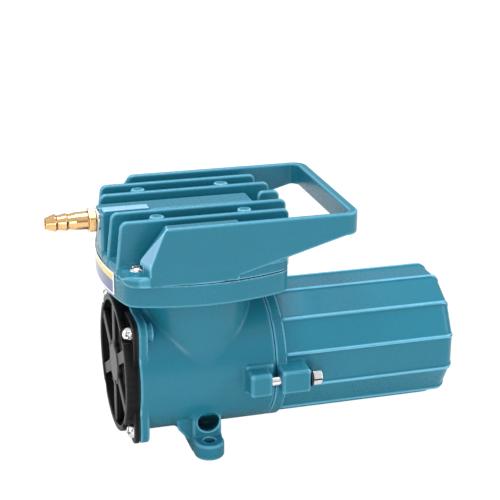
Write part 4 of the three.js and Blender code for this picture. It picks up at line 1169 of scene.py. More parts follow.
@dataclass
class Head(SubAssembly):
    """The cast cylinder head: base, fins, duct, posts, side walls and handle."""

    cell: float = 0.55
    keep: float = 0.7
    low: float = 60.8
    base_top: float = 67.1
    top: float = 92.0
    base_edge: float = 1.4
    seat_edge: float = 0.4
    ear_radius: float = 19.1
    ear_centre: tuple[float, float] = (-33.1, -29.7)
    ear_reach: float = 46.8
    ear_edge: float = 2.0
    ear_fillet: float = 3.0
    pocket_radius: float = 6.6
    pocket_height: float = 4.8
    fin_pitch: float = 15.8
    fin_half: float = 1.5
    fin_corner: float = 3.5
    fin_edge: float = 1.2
    fin_draft: float = 0.11
    fin_near_lead: float = 1.6
    fin_fillet: float = 1.4
    duct_half: float = 8.0
    duct_top: float = 89.5
    duct_rear: float = 33.5
    duct_slope: float = 5.0
    duct_edge: float = 1.6
    duct_end_edge: float = 2.0
    duct_fillet: float = 0.6
    pad_setback: float = 1.4
    pad_length: float = 24.8
    pad_inner: float = 0.9
    pad_outer: float = 7.6
    pad_rise: float = 1.0
    pad_edge: float = 0.9
    rear_fin_x: float = 36.0
    wing_outer: float = 48.5
    wing_thickness: float = 3.0
    wall_edge: float = 1.2
    wall_fillet: float = 0.8
    facet_depth: float = 6.5
    facet_edge: float = 0.45
    facet_skin: float = 0.1
    far_front_top: float = 87.0
    ledge_rear: float = 14.5
    lower_start: float = 6.0
    handle_rear: float = 80.0
    handle_wall: float = 5.0
    handle_height: float = 12.4
    handle_corner: float = 8.0
    post_radius: float = 5.0
    post_top: float = 87.4
    post_edge: float = 0.8
    post_fillet: float = 0.9
    outlet_z: float = 83.5
    chamber_half: tuple[float, float] = (24.0, 6.0)
    chamber_top: float = 76.0
    recess: tuple[float, float] = (27.3, 64.2)
    port_radius: float = 5.1
    port_depth: float = 8.3
    way_radius: float = 3.4
    way_x: float = -18.0
    way_low: float = 74.0

    def _fin(self, y: float, low_x: float, high_x: float) -> Form:
        """A fin with round upper corners, a nearly round top edge and a slightly sloping front.

        Args:
            y: Place of its middle.
            low_x: Where it starts at the base.
            high_x: Where it ends.

        Returns:
            The fin.
        """
        middle, half = (low_x + high_x) / 2, (high_x - low_x) / 2
        floor = self.low - self.wing_outer / 4
        outline = rectangle(half, (self.top - floor) / 2, self.fin_corner, middle, (self.top + floor) / 2)
        fin = prism(Axis.Y, outline, y - self.fin_half, y + self.fin_half, self.fin_edge)

        def leaning(x: Array, y: Array, z: Array) -> Array:
            lean = self.fin_draft * np.maximum(z - self.base_top, 0.0)
            return fin(x - lean * np.clip((middle - x) / half, 0, 1), y, z)

        return Form(leaning)

    def _fins(self) -> Form:
        """The long fins of both sides and the short one at the rear."""
        fins = self._fin(0.0, self.rear_fin_x, BOW.reach(0))
        for step in (-2, -1, 1, 2):
            reach = BOW.reach(step * self.fin_pitch)
            lead = self.fin_near_lead if step == -2 else 0.0
            fins = fins | self._fin(step * self.fin_pitch, -reach - lead, reach)
        return fins

    def _duct(self) -> Form:
        """The raised duct from the valve chamber to the outlet, with the pad on its near half, whose top
        carries a painted reflection.
        """
        front, floor = -BOW.reach(0), self.low + self.wing_thickness
        duct = block((front, -self.duct_half, floor), (self.rear_fin_x, self.duct_half, self.duct_top),
                     self.duct_edge)
        slope = half_space((self.duct_top - self.base_top, 0, self.duct_slope),
                           (self.duct_rear, 0, self.duct_top))
        start = front + self.pad_setback
        pad = block((start, -self.pad_outer, self.base_top),
                    (start + self.pad_length, -self.pad_inner, self.duct_top + self.pad_rise), self.pad_edge)
        return duct.trimmed(slope, self.duct_end_edge).filleted(pad, 0.5)

    def _wings(self) -> Form:
        """The side walls, drawn out to the rear into the handle."""
        front_x = self._corners()[0].x
        middle = (self.handle_rear + front_x * 2) / 2
        outline = rectangle(self.handle_rear - middle, self.wing_outer, self.handle_corner, middle)
        outer = prism(Axis.Z, outline, self.low, self.top, self.wall_edge)
        rear = self.handle_rear - self.handle_wall
        middle = rear / 2 - self.handle_rear
        outline = rectangle(rear - middle, self.wing_outer - self.wing_thickness,
                            self.handle_corner - self.wing_thickness, middle)
        ring = outer.bored(prism(Axis.Z, outline, self.low - 5, self.top + 5), self.wall_edge)
        bar_low = self.top - self.handle_height
        run = self.handle_rear - self.handle_corner - self.lower_start
        sloping = half_space((bar_low - self.low, 0, -run), (self.lower_start, 0, self.low))
        return ring.trimmed(Form(lambda x, y, z: np.minimum(sloping(x, y, z), bar_low - z)), self.wall_edge)

    def _corners(self) -> tuple[Vector, Vector, Vector, Vector, Vector]:
        """Corners of the far wall's front: top inside and outside, break and foot outside, toe inside."""
        inner = self.wing_outer - self.facet_depth
        return (Vector((-23.1, inner, self.top)), Vector((-25.2, self.wing_outer, 90.6)),
                Vector((-32.6, self.wing_outer, 72.0)), Vector((-32.6, self.wing_outer, self.low)),
                Vector((-37.0, inner, 73.6)))

    @staticmethod
    def _facet(a: Vector, b: Vector, c: Vector) -> Form:
        """The space behind the plane through three corners, which faces the front."""
        normal = (b - a).cross(c - a)
        return half_space(tuple(normal if normal.x < 0 else -normal), tuple(a))

    def _fronted(self, wall: Form, edge: float) -> Form:
        """The far wall or a piece of it, cut off by the facets of its front.

        Args:
            wall: The wall.
            edge: Radius of the edges round the facets.

        Returns:
            The cut wall.
        """
        crest, apex, split, foot, toe = self._corners()
        for corners in ((apex, split, toe), (crest, apex, toe), (split, foot, toe)):
            wall = wall.trimmed(self._facet(*corners), edge)
        return wall

    def _fronts(self) -> Form:
        """The side walls' thick fronts, the near one drawn out into a ledge."""
        crest, _, _, _, toe = self._corners()
        low = (toe.x, crest.y, self.low)
        far = block(low, (crest.x, self.wing_outer, self.far_front_top), self.facet_edge)
        near = block(low, (self.ledge_rear, self.wing_outer, self.top), self.wall_edge)
        pocket = rod(Axis.Z, self.pocket_radius, self.low, self.base_top + self.pocket_height, 0,
                     -BOLTING.corner, BOLTING.corner)
        edge = self.facet_edge
        near, far = (self._fronted(wall, edge).bored(pocket, edge) for wall in (near, far))
        return far | Form(lambda x, y, z: near(x, -y, z))

    def _painted_reflection(self) -> Form:
        """The pad's top and the near facet, where a painted reflection shows the paint pale."""
        front = self.pad_setback - BOW.reach(0)
        pad = block((front, -self.pad_outer, self.duct_top + self.pad_rise / 2),
                    (front + self.pad_length, -self.pad_inner, self.top))
        _, apex, split, _, toe = self._corners()
        plane = self._facet(apex, split, toe)
        skin = Form(lambda x, y, z: np.abs(plane(x, -y, z)) - self.facet_skin)
        around = block((toe.x, -self.wing_outer, split.z - OVERRUN),
                       (apex.x, self.facet_depth - apex.y, apex.z))
        return pad | (skin & around)

    def form(self) -> Form:
        """The whole casting."""
        seat = half_space((0, 0, -1), (0, 0, self.low))
        base = prism(Axis.Z, BOW.outline(), self.low - OVERRUN - 1, self.base_top, self.base_edge)
        ear = rod(Axis.Z, self.ear_radius, self.low, self.base_top, self.ear_edge, *self.ear_centre)
        ear = ear.trimmed(half_space((-1, 0, 0), (-self.ear_reach, 0, 0)), self.ear_radius / 3)
        ear = ear.trimmed(half_space((0, -1, 0), (0, -self.wing_outer, 0)), self.seat_edge)
        posts = rod(Axis.Z, self.post_radius, self.low, self.post_top, self.post_edge,
                    BOLTING.post_x, BOLTING.post_y).mirrored(Axis.X, Axis.Y)
        inner = self._fins().filleted(self._duct(), self.duct_fillet).filleted(posts, self.post_fillet)
        body = base.trimmed(seat, self.seat_edge).filleted(ear, self.ear_fillet)
        body = body.filleted(inner, self.fin_fillet)
        wings = self._fronted(self._wings(), self.fin_corner - self.wall_edge).mirrored(Axis.Y)
        body = body.filleted(wings, self.wall_fillet) | self._fronts()
        return (body & seat) - self._hollows()

    def _hollows(self) -> Form:
        """The valve chamber, the valve plate's recess, the way to the outlet and the screw holes."""
        half_x, half_y = self.chamber_half
        floor, front = self.low - OVERRUN, -self.handle_rear
        chamber = block((-half_x, -half_y, floor), (half_x, half_y, self.chamber_top))
        middle = bores(
            Bore(Axis.Z, self.recess[0], floor, self.recess[1]),
            Bore(Axis.X, self.port_radius, front, self.port_depth - BOW.reach(0), 0, self.outlet_z),
            Bore(Axis.X, self.way_radius, front, self.way_x, 0, self.outlet_z),
            Bore(Axis.Z, self.way_radius, self.way_low, self.outlet_z, self.way_x, 0),
        )
        holes = bores(
            Bore(Axis.Z, BOLTING.bolt_hole, floor, self.top, BOLTING.post_x, BOLTING.post_y),
            Bore(Axis.Z, BOLTING.corner_hole, floor, self.base_top + OVERRUN, BOLTING.corner, BOLTING.corner),
        )
        return chamber | middle | holes.mirrored(Axis.X, Axis.Y)

    def build(self) -> None:
        """Makes and dresses the head."""
        low, high = self.datum.box("cylinder_head")
        # The pad's top and the near facet are marked for a painted reflection.
        piece = self.caster().cast("head_casting", self.form(), low, high, self.cell, self.keep,
                                   {"pale": self._painted_reflection()})
        self.dress(piece, self.finishes.enamel, "paint", "cylinder_head")


@dataclass
class MotorCap(SubAssembly):
    """The ribbed cast cap over the motor, with its rear lugs."""

    cell: float = 0.62
    keep: float = 0.3
    front_x: float = 38.3
    end_x: float = 144.0
    collar: float = 6.0
    collar_radius: float = 38.5
    collar_edge: float = 0.7
    collar_fillet: float = 0.8
    ribs: int = 12
    rib_radius: float = 38.3
    facet_radius: float = 36.7
    rib_foot: float = 1.9
    rib_half: float = 1.0
    rib_fillet: float = 0.7
    facet_end_round: float = 6.0
    rib_end_round: float = 6.5
    lug_length: float = 16.2
    lug_inner: float = 31.0
    lug_edge: float = 1.8
    lug_fillet: float = 1.4
    motor_space: tuple[float, float] = (33.3, 126.0)
    end_space: tuple[float, float, float] = (26.3, 120.0, 139.0)
    bearing_boss: tuple[float, float, float] = (14.3, 132.0, 142.0)
    bearing_seat: tuple[float, float, float] = (11.3, 130.0, 139.0)
    cable_hole: tuple[float, float, float] = (5.3, 137.0, 146.0)
    cable_z: float = -22.0

    def _turned(self, y: Array, z: Array) -> tuple[Array, Array]:
        """Turns places across the cap about its axis to the nearest rib.

        Args:
            y: Places towards the far side.
            z: Places upwards.

        Returns:
            How far the places lie outwards along the rib, and sideways from it.
        """
        pitch = 2 * math.pi / self.ribs
        away = np.abs(np.mod(np.arctan2(z, y), pitch) - pitch / 2)
        radius = np.hypot(y, z)
        return radius * np.cos(away), radius * np.sin(away)

    def _shell(self) -> Form:
        """The shell's outside: flat facets between narrow ribs, rounded off at the rear end."""
        pitch = 2 * math.pi / self.ribs
        facet = self.facet_radius * math.cos(pitch / 2 - self.rib_foot / self.facet_radius)
        lean = Vector((math.cos(pitch / 2), math.sin(pitch / 2)))

        def facets(y: Array, z: Array) -> Array:
            outward, sideways = self._turned(y, z)
            return outward * lean.x + sideways * lean.y - facet

        def rib(x: Array, y: Array, z: Array) -> Array:
            outward, sideways = self._turned(y, z)
            over = np.maximum(outward - self.rib_radius + self.rib_half, 0)
            ends = np.maximum(self.front_x - x, x - self.end_x)
            return np.maximum(np.hypot(over, sideways) - self.rib_half, ends)

        body = prism(Axis.X, facets, self.front_x, self.end_x, self.facet_end_round)
        envelope = rod(Axis.X, self.rib_radius, self.front_x - self.collar, self.end_x, self.rib_end_round)
        return body.filleted(Form(rib).trimmed(envelope, self.rib_half / 2), self.rib_fillet)

    def form(self) -> Form:
        """The whole cap."""
        collar = rod(Axis.X, self.collar_radius, self.front_x, self.front_x + self.collar, self.collar_edge)
        lugs = BOLTING.lug(self.front_x, self.lug_length, self.lug_inner, self.lug_edge)
        body = self._shell().filleted(collar, self.collar_fillet).filleted(lugs, self.lug_fillet)
        body = body & half_space((-1, 0, 0), (self.front_x, 0, 0))
        front, space = self.front_x - OVERRUN, rod(Axis.X, *self.end_space) - rod(Axis.X, *self.bearing_boss)
        radius, end = self.motor_space
        holes = bores(
            Bore(Axis.X, radius, front, end), Bore(Axis.X, *self.bearing_seat),
            Bore(Axis.X, *self.cable_hole, 0, self.cable_z),
        )
        bolt = Bore(Axis.X, BOLTING.bolt_hole, front, self.front_x + self.lug_length + OVERRUN,
                    BOLTING.lug_y, BOLTING.lug_z)
        return body - (holes | space | bolt.form().mirrored(Axis.Y))

    def build(self) -> None:
        """Makes and dresses the cap."""
        low, high = self.datum.box("motor_cap")
        piece = self.caster().cast("motor_cap_casting", self.form(), low, high, self.cell, self.keep)
        self.dress(piece, self.finishes.enamel, "paint", "motor_cap")


@dataclass
class FrontCover(SubAssembly):
    """The moulded front cover with its spoked grille and centre disc."""

    cell: float = 0.42
    keep: float = 0.35
    back: float = -36.75
    front: float = -44.25
    plate: float = 3.0
    half: float = 35.5
    corner: float = 7.0
    plate_edge: float = 0.8
    ring_radius: float = 38.0
    ring_wall: float = 3.2
    ring_edge: float = 0.9
    ring_fillet: float = 0.6
    mouth_edge: float = 0.7
    grille_front: float = -43.45
    grille_back: float = -41.25
    grille_edge: float = 0.5
    spokes: int = 6
    spoke_half: float = 3.2
    spoke_fillet: float = 2.0
    hub_radius: float = 12.0
    disc_radius: float = 10.2
    disc_cell: float = 0.3
    disc_keep: float = 0.5
    disc_edge: float = 0.3
    disc_play: float = 0.3
    disc_depth: float = 0.4
    pocket_radius: float = 4.6

    def form(self) -> Form:
        """The cover."""
        front, back, plate_front = self.front - OVERRUN, self.back + OVERRUN, self.back - self.plate
        square = prism(Axis.X, rectangle(self.half, self.half, self.corner), plate_front, self.back,
                       self.plate_edge)
        ring = rod(Axis.X, self.ring_radius, self.front, self.back, self.ring_edge)
        mouth = self.ring_radius - self.ring_wall
        body = square.filleted(ring, self.ring_fillet).bored(rod(Axis.X, mouth, front, back), self.mouth_edge)
        hub = rod(Axis.X, self.hub_radius, self.grille_front, self.grille_back, self.grille_edge)
        bar = block((self.grille_front, self.hub_radius / 2, -self.spoke_half),
                    (self.grille_back, mouth + self.ring_wall / 2, self.spoke_half), self.grille_edge)
        pitch = 2 * math.pi / self.spokes

        def turned(x: Array, y: Array, z: Array) -> Array:
            angle = np.mod(np.arctan2(z, y), pitch) - pitch / 2
            radius = np.hypot(y, z)
            return bar(x, radius * np.cos(angle), radius * np.sin(angle))

        body = body.filleted(hub.filleted(Form(turned), self.spoke_fillet), self.spoke_fillet / 2)
        recess = rod(Axis.X, self.disc_radius + self.disc_play, self.front,
                     self.grille_front + self.disc_depth)
        holes = bores(
            Bore(Axis.X, BOLTING.cover_hole, front, back, BOLTING.cover, BOLTING.cover),
            Bore(Axis.X, self.pocket_radius, front, plate_front, BOLTING.cover, BOLTING.cover),
        )
        return body.bored(recess, self.disc_edge).bored(holes.mirrored(Axis.Y, Axis.Z), self.disc_edge)

    def build(self) -> None:
        """Makes and dresses the cover and its disc."""
        low, high = self.datum.box("front_cover")
        piece = self.caster().cast("front_cover_moulding", self.form(), low, high, self.cell, self.keep)
        self.dress(piece, self.finishes.cover, "cover_plastic", "front_cover")
        low, high = self.datum.box("cover_disc")
        plate = rod(Axis.X, self.disc_radius, low.x, high.x, self.disc_edge)
        piece = self.caster().cast("cover_disc_moulding", plate, low, high, self.disc_cell, self.disc_keep)
        self.dress(piece, self.finishes.disc, "disc_plastic", "cover_disc")


@dataclass
class Fasteners(SubAssembly):
    """Cross-headed screws, head bolts, and the motor's long bolts with their washers."""

    screw_cell: float = 0.22
    bolt_cell: float = 0.28
    head_radius: float = 4.0
    head_height: float = 2.6
    head_edge: float = 0.35
    dome_lift: float = 0.6
    slot_taper: float = 0.62
    slot_edge: float = 0.18
    cover_shank: tuple[float, float] = (1.9, 7.5)
    corner_shank: tuple[float, float] = (2.0, 13.0)
    cover_seat: float = -40.05
    corner_seat: float = 67.25
    post_seat: float = 87.55
    post_cell: float = 0.3
    post_head: tuple[float, float] = (4.2, 3.4)
    post_crown: tuple[float, float] = (3.2, 1.1)
    post_edge: float = 0.5
    post_shank: tuple[float, float] = (2.5, 37.0)
    post_blank: float = 30.0
    motor_seat: float = 56.2
    motor_head: tuple[float, float] = (4.6, 8.0)
    motor_crown: tuple[float, float] = (3.9, 1.6)
    motor_edge: float = 0.25
    motor_shank: float = 2.5
    washer: tuple[float, float] = (5.2, 2.8)
    washer_edge: float = 0.35

    def _cross_screw(self, shank: float, length: float) -> Form:
        """A domed, cross-headed screw along Z with its seat at zero.

        Args:
            shank: Radius of its shank.
            length: Length of its shank.

        Returns:
            The screw.
        """
        height = self.head_height
        radius = (self.head_radius**2 + height**2) / (2 * height) + self.dome_lift
        dome = Form(lambda x, y, z: np.sqrt(x**2 + y**2 + (z - height + radius) ** 2) - radius)
        head = rod(Axis.Z, self.head_radius, 0, height, self.head_edge).trimmed(dome, 0.3)

        def slot(x: Array, y: Array, z: Array) -> Array:
            arm = self.head_radius * 0.6 - (height - z) * self.slot_taper
            width = self.head_radius * 0.14
            long_x = np.maximum(np.abs(x) - arm, np.abs(y) - width)
            long_y = np.maximum(np.abs(y) - arm, np.abs(x) - width)
            return np.maximum(np.minimum(long_x, long_y), height * 0.4 - z)

        return head.bored(Form(slot), self.slot_edge) | rod(Axis.Z, shank, -length, 0.2)

    def _pattern(self, name: str, form: Form, reach: float, length: float, height: float,
                 cell: float) -> bpy.types.Mesh:
        """A fastener's mesh about its own seat.

        Args:
            name: The mesh's name.
            form: The fastener.
            reach: How far it reaches sideways.
            length: How far it reaches below its seat.
            height: How far it reaches above its seat.
            cell: Size of the grid's cells.

        Returns:
            The mesh.
        """
        low, high = (-reach, -reach, -length), (reach, reach, height)
        loose = Caster(Datum(0.0, 0.0)).cast(name, form, low, high, cell)
        mesh = loose.data
        bpy.data.objects.remove(loose)
        return mesh

    def _place(self, node: str, look: str, mesh: bpy.types.Mesh, seat: Point, turn: Point,
               finish: bpy.types.Material, slot: str) -> None:
        """Sets a copy of a fastener on its seat.

        Args:
            node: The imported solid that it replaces.
            look: What its name adds to the node's.
            mesh: The fastener's mesh.
            seat: Its seat.
            turn: Its turn about the three axes.
            finish: Its material.
            slot: The record's material slot.
        """
        piece = bpy.data.objects.new(f"{node}_{look}", mesh)
        bpy.context.scene.collection.objects.link(piece)
        piece.rotation_euler = turn
        piece.location = Vector(self.datum.placed(np.array(seat)))
        self.dress(piece, finish, slot, node)

    def _screws(self) -> tuple[bpy.types.Mesh, bpy.types.Mesh]:
        """The meshes of a cover screw and a corner screw."""
        kinds = {"cover_screw_mesh": self.cover_shank, "corner_screw_mesh": self.corner_shank}
        return tuple(self._pattern(name, self._cross_screw(*shank), self.head_radius, shank[1],
                                   self.head_height, self.screw_cell) for name, shank in kinds.items())

    def _head_bolt(self) -> bpy.types.Mesh:
        """The mesh of a head bolt."""
        (corner, height), (crown, slope), (shank, length) = self.post_head, self.post_crown, self.post_shank
        head = hexagon(rod(Axis.Z, self.post_blank, 0, height), Axis.Z, 2 * corner * math.cos(math.pi / 6),
                       self.post_edge, math.pi / 6)
        head = head.trimmed(cone(Axis.Z, crown, height, slope), self.post_edge)
        return self._pattern("head_bolt_mesh", head | rod(Axis.Z, shank, -length, 1), corner + 0.1, length,
                             height, self.post_cell)

    def build(self) -> None:
        """Makes and dresses all the fasteners."""
        cover, corner = self._screws()
        bolt = self._head_bolt()
        chrome, paint = self.finishes.chrome, self.finishes.enamel
        for index, (v, w) in enumerate([(-1, -1), (1, -1), (1, 1), (-1, 1)]):
            number = index + 1
            self._place(f"cover_screw_{number}", "plated", cover,
                        (self.cover_seat, v * BOLTING.cover, w * BOLTING.cover),
                        (0.3 * index + 0.4, -math.pi / 2, 0), chrome, "chrome")
            self._place(f"corner_screw_{number}", "plated", corner,
                        (v * BOLTING.corner, w * BOLTING.corner, self.corner_seat),
                        (0, 0, 0.5 * index + 0.3), chrome, "chrome")
            self._place(f"head_bolt_{number}", "painted", bolt,
                        (v * BOLTING.post_x, w * BOLTING.post_y, self.post_seat),
                        (0, 0, 0.4 * index), paint, "paint")
        for sign, side in ((-1, "near"), (1, "far")):
            self._motor_bolt(sign, side)

    def _motor_bolt(self, sign: int, side: str) -> None:
        """Makes one of the bolts that hold the motor cap, with its washer.

        Args:
            sign: -1 for the near side, 1 for the far side.
            side: The side's name.
        """
        low, high = self.datum.box(f"motor_bolt_{side}")
        centre = (sign * BOLTING.lug_y, BOLTING.lug_z)
        (radius, flats), (crown, slope) = self.motor_head, self.motor_crown
        head = hexagon(rod(Axis.X, radius, self.motor_seat, high.x, 0.0, *centre), Axis.X, flats,
                       self.motor_edge, math.pi / 6, *centre)
        head = head.trimmed(cone(Axis.X, crown, high.x, slope, *centre), 0.2)
        shank = rod(Axis.X, self.motor_shank, low.x, self.motor_seat + 1, 0.3, *centre)
        piece = self.caster().cast(f"motor_bolt_{side}_plated", shank | head, low, high, self.bolt_cell)
        self.dress(piece, self.finishes.chrome, "chrome", f"motor_bolt_{side}")
        low, high = self.datum.box(f"bolt_washer_{side}")
        outer, inner = self.washer
        hole = rod(Axis.X, inner, low.x - OVERRUN, high.x + OVERRUN, 0, *centre)
        washer = rod(Axis.X, outer, low.x, high.x, self.washer_edge, *centre).bored(hole, 0.2)
        piece = self.caster().cast(f"bolt_washer_{side}_dark", washer, low, high, self.bolt_cell)
        self.dress(piece, self.finishes.dark_steel, "dark_steel", f"bolt_washer_{side}")


@dataclass
class Outlet(SubAssembly):
    """The brass hose barb and its white seal."""

    cell: float = 0.3
    keep: float = 0.8
    z: float = 83.5
    bore: float = 2.6
    hex_flats: float = 12.5
    hex_length: float = 4.1
    hex_turn: float = math.radians(190.0)
    hex_edge: float = 0.25
    hex_fillet: float = 0.4
    chamfer_share: float = 0.56
    chamfer_edge: float = 0.7
    barb_length: float = 22.5
    thread: float = 8.0
    thread_radius: float = 4.8
    thread_pitch: float = 1.0
    seal_radius: float = 5.5
    seal_edge: float = 0.5
    mouth_edge: float = 0.3
    stations: tuple[tuple[float, float], ...] = (
        (0.0, 2.9), (4.7, 4.6), (5.2, 4.75), (5.5, 4.6), (6.1, 3.95), (6.6, 3.9), (10.3, 4.6), (10.8, 4.75),
        (11.1, 4.6), (11.9, 4.1), (12.4, 4.1), (16.0, 4.8), (22.5, 4.9),
    )

    def form(self, tip: float) -> Form:
        """The barb, from its tip to the end of its thread.

        Args:
            tip: Where its tip is.

        Returns:
            The barb.
        """
        hex_front = tip + self.barb_length
        face = hex_front + self.hex_length
        at, radii = zip(*self.stations)

        def outline(x: Array, y: Array, z: Array) -> Array:
            radius = np.hypot(y, z - self.z)
            shank = radius - np.interp(x - tip, at, radii)
            shank = np.maximum(shank, np.maximum(tip - x, x - face))
            wave = np.abs(np.mod(x / self.thread_pitch, 1.0) - 0.5)
            thread = radius - self.thread_radius + self.thread_pitch / 3 * wave
            return np.minimum(shank, np.maximum(thread, np.maximum(hex_front - x, x - face - self.thread)))

        nut = hexagon(rod(Axis.X, self.hex_flats, hex_front, face, 0, 0, self.z), Axis.X, self.hex_flats,
                      self.hex_edge, self.hex_turn, 0, self.z)
        chamfer = rod(Axis.X, self.hex_flats * self.chamfer_share, hex_front, face, self.chamfer_edge,
                      0, self.z)
        whole = Form(outline).filleted(nut.trimmed(chamfer, self.mouth_edge), self.hex_fillet)
        way = rod(Axis.X, self.bore, tip - OVERRUN, face + self.thread + OVERRUN, 0, 0, self.z)
        return whole.bored(way, self.mouth_edge)

    def build(self) -> None:
        """Makes and dresses the barb and its seal."""
        low, high = self.datum.box("outlet_barb")
        piece = self.caster().cast("outlet_barb_turned", self.form(low.x), low, high, self.cell, self.keep)
        self.dress(piece, self.finishes.brass, "brass", "outlet_barb")
        low, high = self.datum.box("outlet_washer")
        hole = rod(Axis.X, self.thread_radius + self.mouth_edge, low.x - OVERRUN, high.x + OVERRUN,
                   0, 0, self.z)
        seal = rod(Axis.X, self.seal_radius, low.x, high.x, self.seal_edge, 0, self.z).bored(hole, 0.2)
        piece = self.caster().cast("outlet_seal", seal, low, high, self.cell)
        self.dress(piece, self.finishes.white, "seal_plastic", "outlet_washer")


@dataclass
class Trim(SubAssembly):
    """The gasket, the bare label and the cable grommet."""

    gasket_inset: float = 0.08
    gasket_bore: float = 22.3
    gasket_cell: float = 0.4
    label_half: float = 26.0
    label_depths: tuple[float, float] = (0.15, 0.55)
    label_corner: float = 0.6
    label_cell: float = 0.14
    cable_z: float = -22.0
    lip: tuple[float, float, float] = (7.0, 144.15, 0.8)
    sleeve: tuple[float, float] = (5.0, 0.4)
    cable_bore: float = 2.6
    grommet_cell: float = 0.35

    def _gasket(self) -> None:
        """Makes and dresses the gasket."""
        low, high = self.datum.box("head_gasket")
        sheet = prism(Axis.Z, BOW.outline(-self.gasket_inset), low.z, high.z, 0.1)
        sheet = sheet - rod(Axis.Z, self.gasket_bore, low.z - OVERRUN, high.z + OVERRUN)
        piece = self.caster().cast("head_gasket_cut", sheet, low, high, self.gasket_cell, 0.3)
        self.dress(piece, self.finishes.rubber, "rubber", "head_gasket")

    def _label(self) -> None:
        """Makes and dresses the label."""
        low, high = self.datum.box("name_label")
        inner, outer = (BOW.outline(depth) for depth in self.label_depths)
        shell = prism(Axis.Z, outer, low.z, high.z) - prism(Axis.Z, inner, low.z - OVERRUN, high.z + OVERRUN)
        window = block((low.x - OVERRUN, -self.label_half, low.z), (low.x / 2, self.label_half, high.z),
                       self.label_corner)
        piece = self.caster().cast("name_label_film", shell & window, low, high, self.label_cell, 0.2)
        self.dress(piece, self.finishes.label, "label_film", "name_label")

    def _grommet(self) -> None:
        """Makes and dresses the cable grommet."""
        low, high = self.datum.box("cable_grommet")
        centre = (0.0, self.cable_z)
        (lip_radius, lip_x, lip_edge), (sleeve_radius, sleeve_edge) = self.lip, self.sleeve
        form = rod(Axis.X, lip_radius, lip_x, high.x, lip_edge, *centre)
        form = form | rod(Axis.X, sleeve_radius, low.x, high.x, sleeve_edge, *centre)
        form = form.bored(rod(Axis.X, self.cable_bore, low.x - OVERRUN, high.x + OVERRUN, 0, *centre), 0.5)
        piece = self.caster().cast("cable_grommet_moulded", form, low, high, self.grommet_cell)
        self.dress(piece, self.finishes.rubber, "rubber", "cable_grommet")

    def build(self) -> None:
        """Makes and dresses the trim."""
        self._gasket()
        self._label()
        self._grommet()


@dataclass
class Internals:
    """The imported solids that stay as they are: each only gets its finish."""

    frame: dict
    finishes: Finishes

    def build(self) -> None:
        """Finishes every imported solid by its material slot."""
        by_slot = {
            "steel": self.finishes.steel, "dark_steel": self.finishes.dark_steel,
            "aluminium": self.finishes.aluminium, "brass": self.finishes.brass,
            "copper": self.finishes.copper, "rubber": self.finishes.rubber,
            "seal_plastic": self.finishes.white, "graphite": self.finishes.graphite,
            "ferrite": self.finishes.ferrite, "foam": self.finishes.foam,
            "cover_plastic": self.finishes.cover, "disc_plastic": self.finishes.disc,
            "chrome": self.finishes.chrome, "paint": self.finishes.enamel, "label_film": self.finishes.label,
        }
        for entry in self.frame["record"]["subparts"]:
            solid = self.frame["nodes"][entry["node"]]
            solid.data.materials.clear()
            solid.data.materials.append(by_slot[entry["material_slot"]])


@dataclass(frozen=True)
class SoftBox:
    """A large soft lamp aimed at the pump."""

    name: str
    place: Point
    size: tuple[float, float]
    power: float
    colour: Colour = (1.0, 1.0, 1.0)

    def build(self, target: Vector) -> None:
        """Hangs the lamp.

        Args:
            target: Where it is aimed.
        """
        lamp = bpy.data.lights.new(self.name, "AREA")
        lamp.shape = "RECTANGLE"
        lamp.size, lamp.size_y = self.size
        lamp.energy = self.power
        lamp.color = self.colour
        holder = bpy.data.objects.new(self.name, lamp)
        holder.location = Vector(self.place)
        holder.rotation_euler = (target - holder.location).to_track_quat("-Z", "Y").to_euler()
        bpy.context.scene.collection.objects.link(holder)


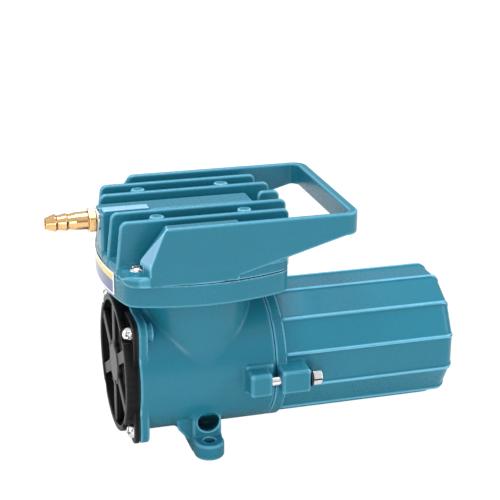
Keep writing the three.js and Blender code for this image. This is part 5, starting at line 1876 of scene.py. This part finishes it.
@dataclass
class Studio:
    """The pale floor, the lights and the camera."""

    azimuth: float = -16.56
    elevation: float = 20.21
    roll: float = 0.53
    distance: float = 0.74905
    focal_pixels: float = 1360.0
    picture_pixels: float = 500.0
    clip_start: float = 0.05
    aim: Point = (33.9, 0.0, 58.3)
    horizon: float = 0.3
    sky: float = 0.95
    rise: tuple[float, float] = (0.1, 0.6)
    floor_half: float = 6.0
    floor_drop: float = 0.0004
    floor_colour: Colour = (0.88, 0.86, 0.83)
    floor_glow: float = 1.1
    floor_glow_share: float = 0.93
    lamps: tuple[SoftBox, ...] = (
        SoftBox("overhead_box", (-0.05, 0.05, 1.3), (0.7, 0.5), 12.0, (0.9, 0.96, 1.0)),
        SoftBox("front_box", (-0.6, -1.7, 0.35), (1.0, 0.5), 9.0),
        SoftBox("side_box", (1.4, -0.9, 0.7), (0.7, 0.9), 7.0),
        SoftBox("left_box", (-1.3, -0.1, 0.35), (0.7, 0.5), 2.5),
    )

    def build(self, datum: Datum) -> None:
        """Makes the whole studio.

        Args:
            datum: Where the pump stands.
        """
        target = Vector(datum.placed(np.array(self.aim)))
        self._camera(target)
        self._world()
        self._floor()
        for lamp in self.lamps:
            lamp.build(target)

    def _camera(self, target: Vector) -> None:
        """Sets the camera at the photograph's viewing angle.

        Args:
            target: Where it is aimed.
        """
        a, e, r = (math.radians(v) for v in (self.azimuth, self.elevation, self.roll))
        back = Vector((math.sin(a) * math.cos(e), -math.cos(a) * math.cos(e), math.sin(e)))
        right = Vector((math.cos(a), math.sin(a), 0.0))
        side = right * math.cos(r) + back.cross(right) * math.sin(r)
        rise = back.cross(side)
        lens = bpy.data.cameras.new("camera")
        lens.lens = self.focal_pixels / self.picture_pixels * lens.sensor_width
        lens.clip_start = self.clip_start
        camera = bpy.data.objects.new("camera", lens)
        matrix = camera.matrix_world.copy()
        for row in range(3):
            matrix[row][:] = side[row], rise[row], back[row], target[row] + back[row] * self.distance
        camera.matrix_world = matrix
        bpy.context.scene.collection.objects.link(camera)
        bpy.context.scene.camera = camera

    def _world(self) -> None:
        """A white surround that the camera sees, and a softer one that lights and is reflected."""
        world = bpy.data.worlds.new("studio")
        bpy.context.scene.world = world
        world.use_nodes = True
        nodes = Nodes(world.node_tree)
        horizon, sky, backdrop = (
            nodes.add("ShaderNodeBackground", {}, {"Color": (1.0, 1.0, 1.0), "Strength": strength})
            for strength in (self.horizon, self.sky, 1.0)
        )
        place = nodes.add("ShaderNodeTexCoord", output="Generated")
        share = nodes.add("ShaderNodeMapRange", {"interpolation_type": "SMOOTHSTEP"}, {
            "Value": nodes.add("ShaderNodeSeparateXYZ", {}, {"Vector": place}, "Z"),
            "From Min": self.rise[0], "From Max": self.rise[1],
        })
        lighting = nodes.add("ShaderNodeMixShader", {}, {0: share, 1: horizon, 2: sky})
        seen = nodes.add("ShaderNodeLightPath", output="Is Camera Ray")
        seen = seen.or_more(nodes.add("ShaderNodeLightPath", output="Is Transmission Ray"))
        whole = nodes.add("ShaderNodeMixShader", {}, {0: seen, 1: lighting, 2: backdrop})
        nodes.close("ShaderNodeOutputWorld", whole)

    def _floor(self) -> None:
        """A pale floor that keeps a soft shadow."""
        h = self.floor_half
        mesh = bpy.data.meshes.new("floor")
        mesh.from_pydata([(-h, -h, 0), (h, -h, 0), (h, h, 0), (-h, h, 0)], [], [(0, 1, 2, 3)])
        floor = bpy.data.objects.new("floor", mesh)
        floor.location.z = -self.floor_drop
        bpy.context.scene.collection.objects.link(floor)
        shader = Shader("floor_paper")
        matt = shader.add("ShaderNodeBsdfDiffuse", {}, {"Color": self.floor_colour})
        glow = shader.add("ShaderNodeEmission", {}, {"Color": (1.0, 1.0, 1.0), "Strength": self.floor_glow})
        seen = shader.add("ShaderNodeLightPath", output="Is Camera Ray")
        paper = shader.add("ShaderNodeMixShader", {}, {0: seen * self.floor_glow_share, 1: matt, 2: glow})
        shader.close("ShaderNodeOutputMaterial", paper)
        mesh.materials.append(shader.material)


def main() -> None:
    """Builds the pump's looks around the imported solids."""
    logging.basicConfig(level=logging.INFO, format="%(name)s: %(message)s")
    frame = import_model()
    bpy.context.scene.view_settings.view_transform = "Standard"
    datum = Datum.of(frame)
    low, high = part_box("name_label")
    label = LabelFilm(low.z / MILLIMETRE, high.z / MILLIMETRE, high.y / MILLIMETRE)
    finishes = Finishes(label)
    Internals(frame, finishes).build()
    for kind in (Crankcase, Head, MotorCap, FrontCover, Fasteners, Outlet, Trim):
        assembly = kind(datum, finishes)
        assembly.build()
        for piece in assembly.made:
            LOG.info("%s: %d faces", piece.name, len(piece.data.polygons))
    Studio().build(datum)


if __name__ == "__main__":
    main()
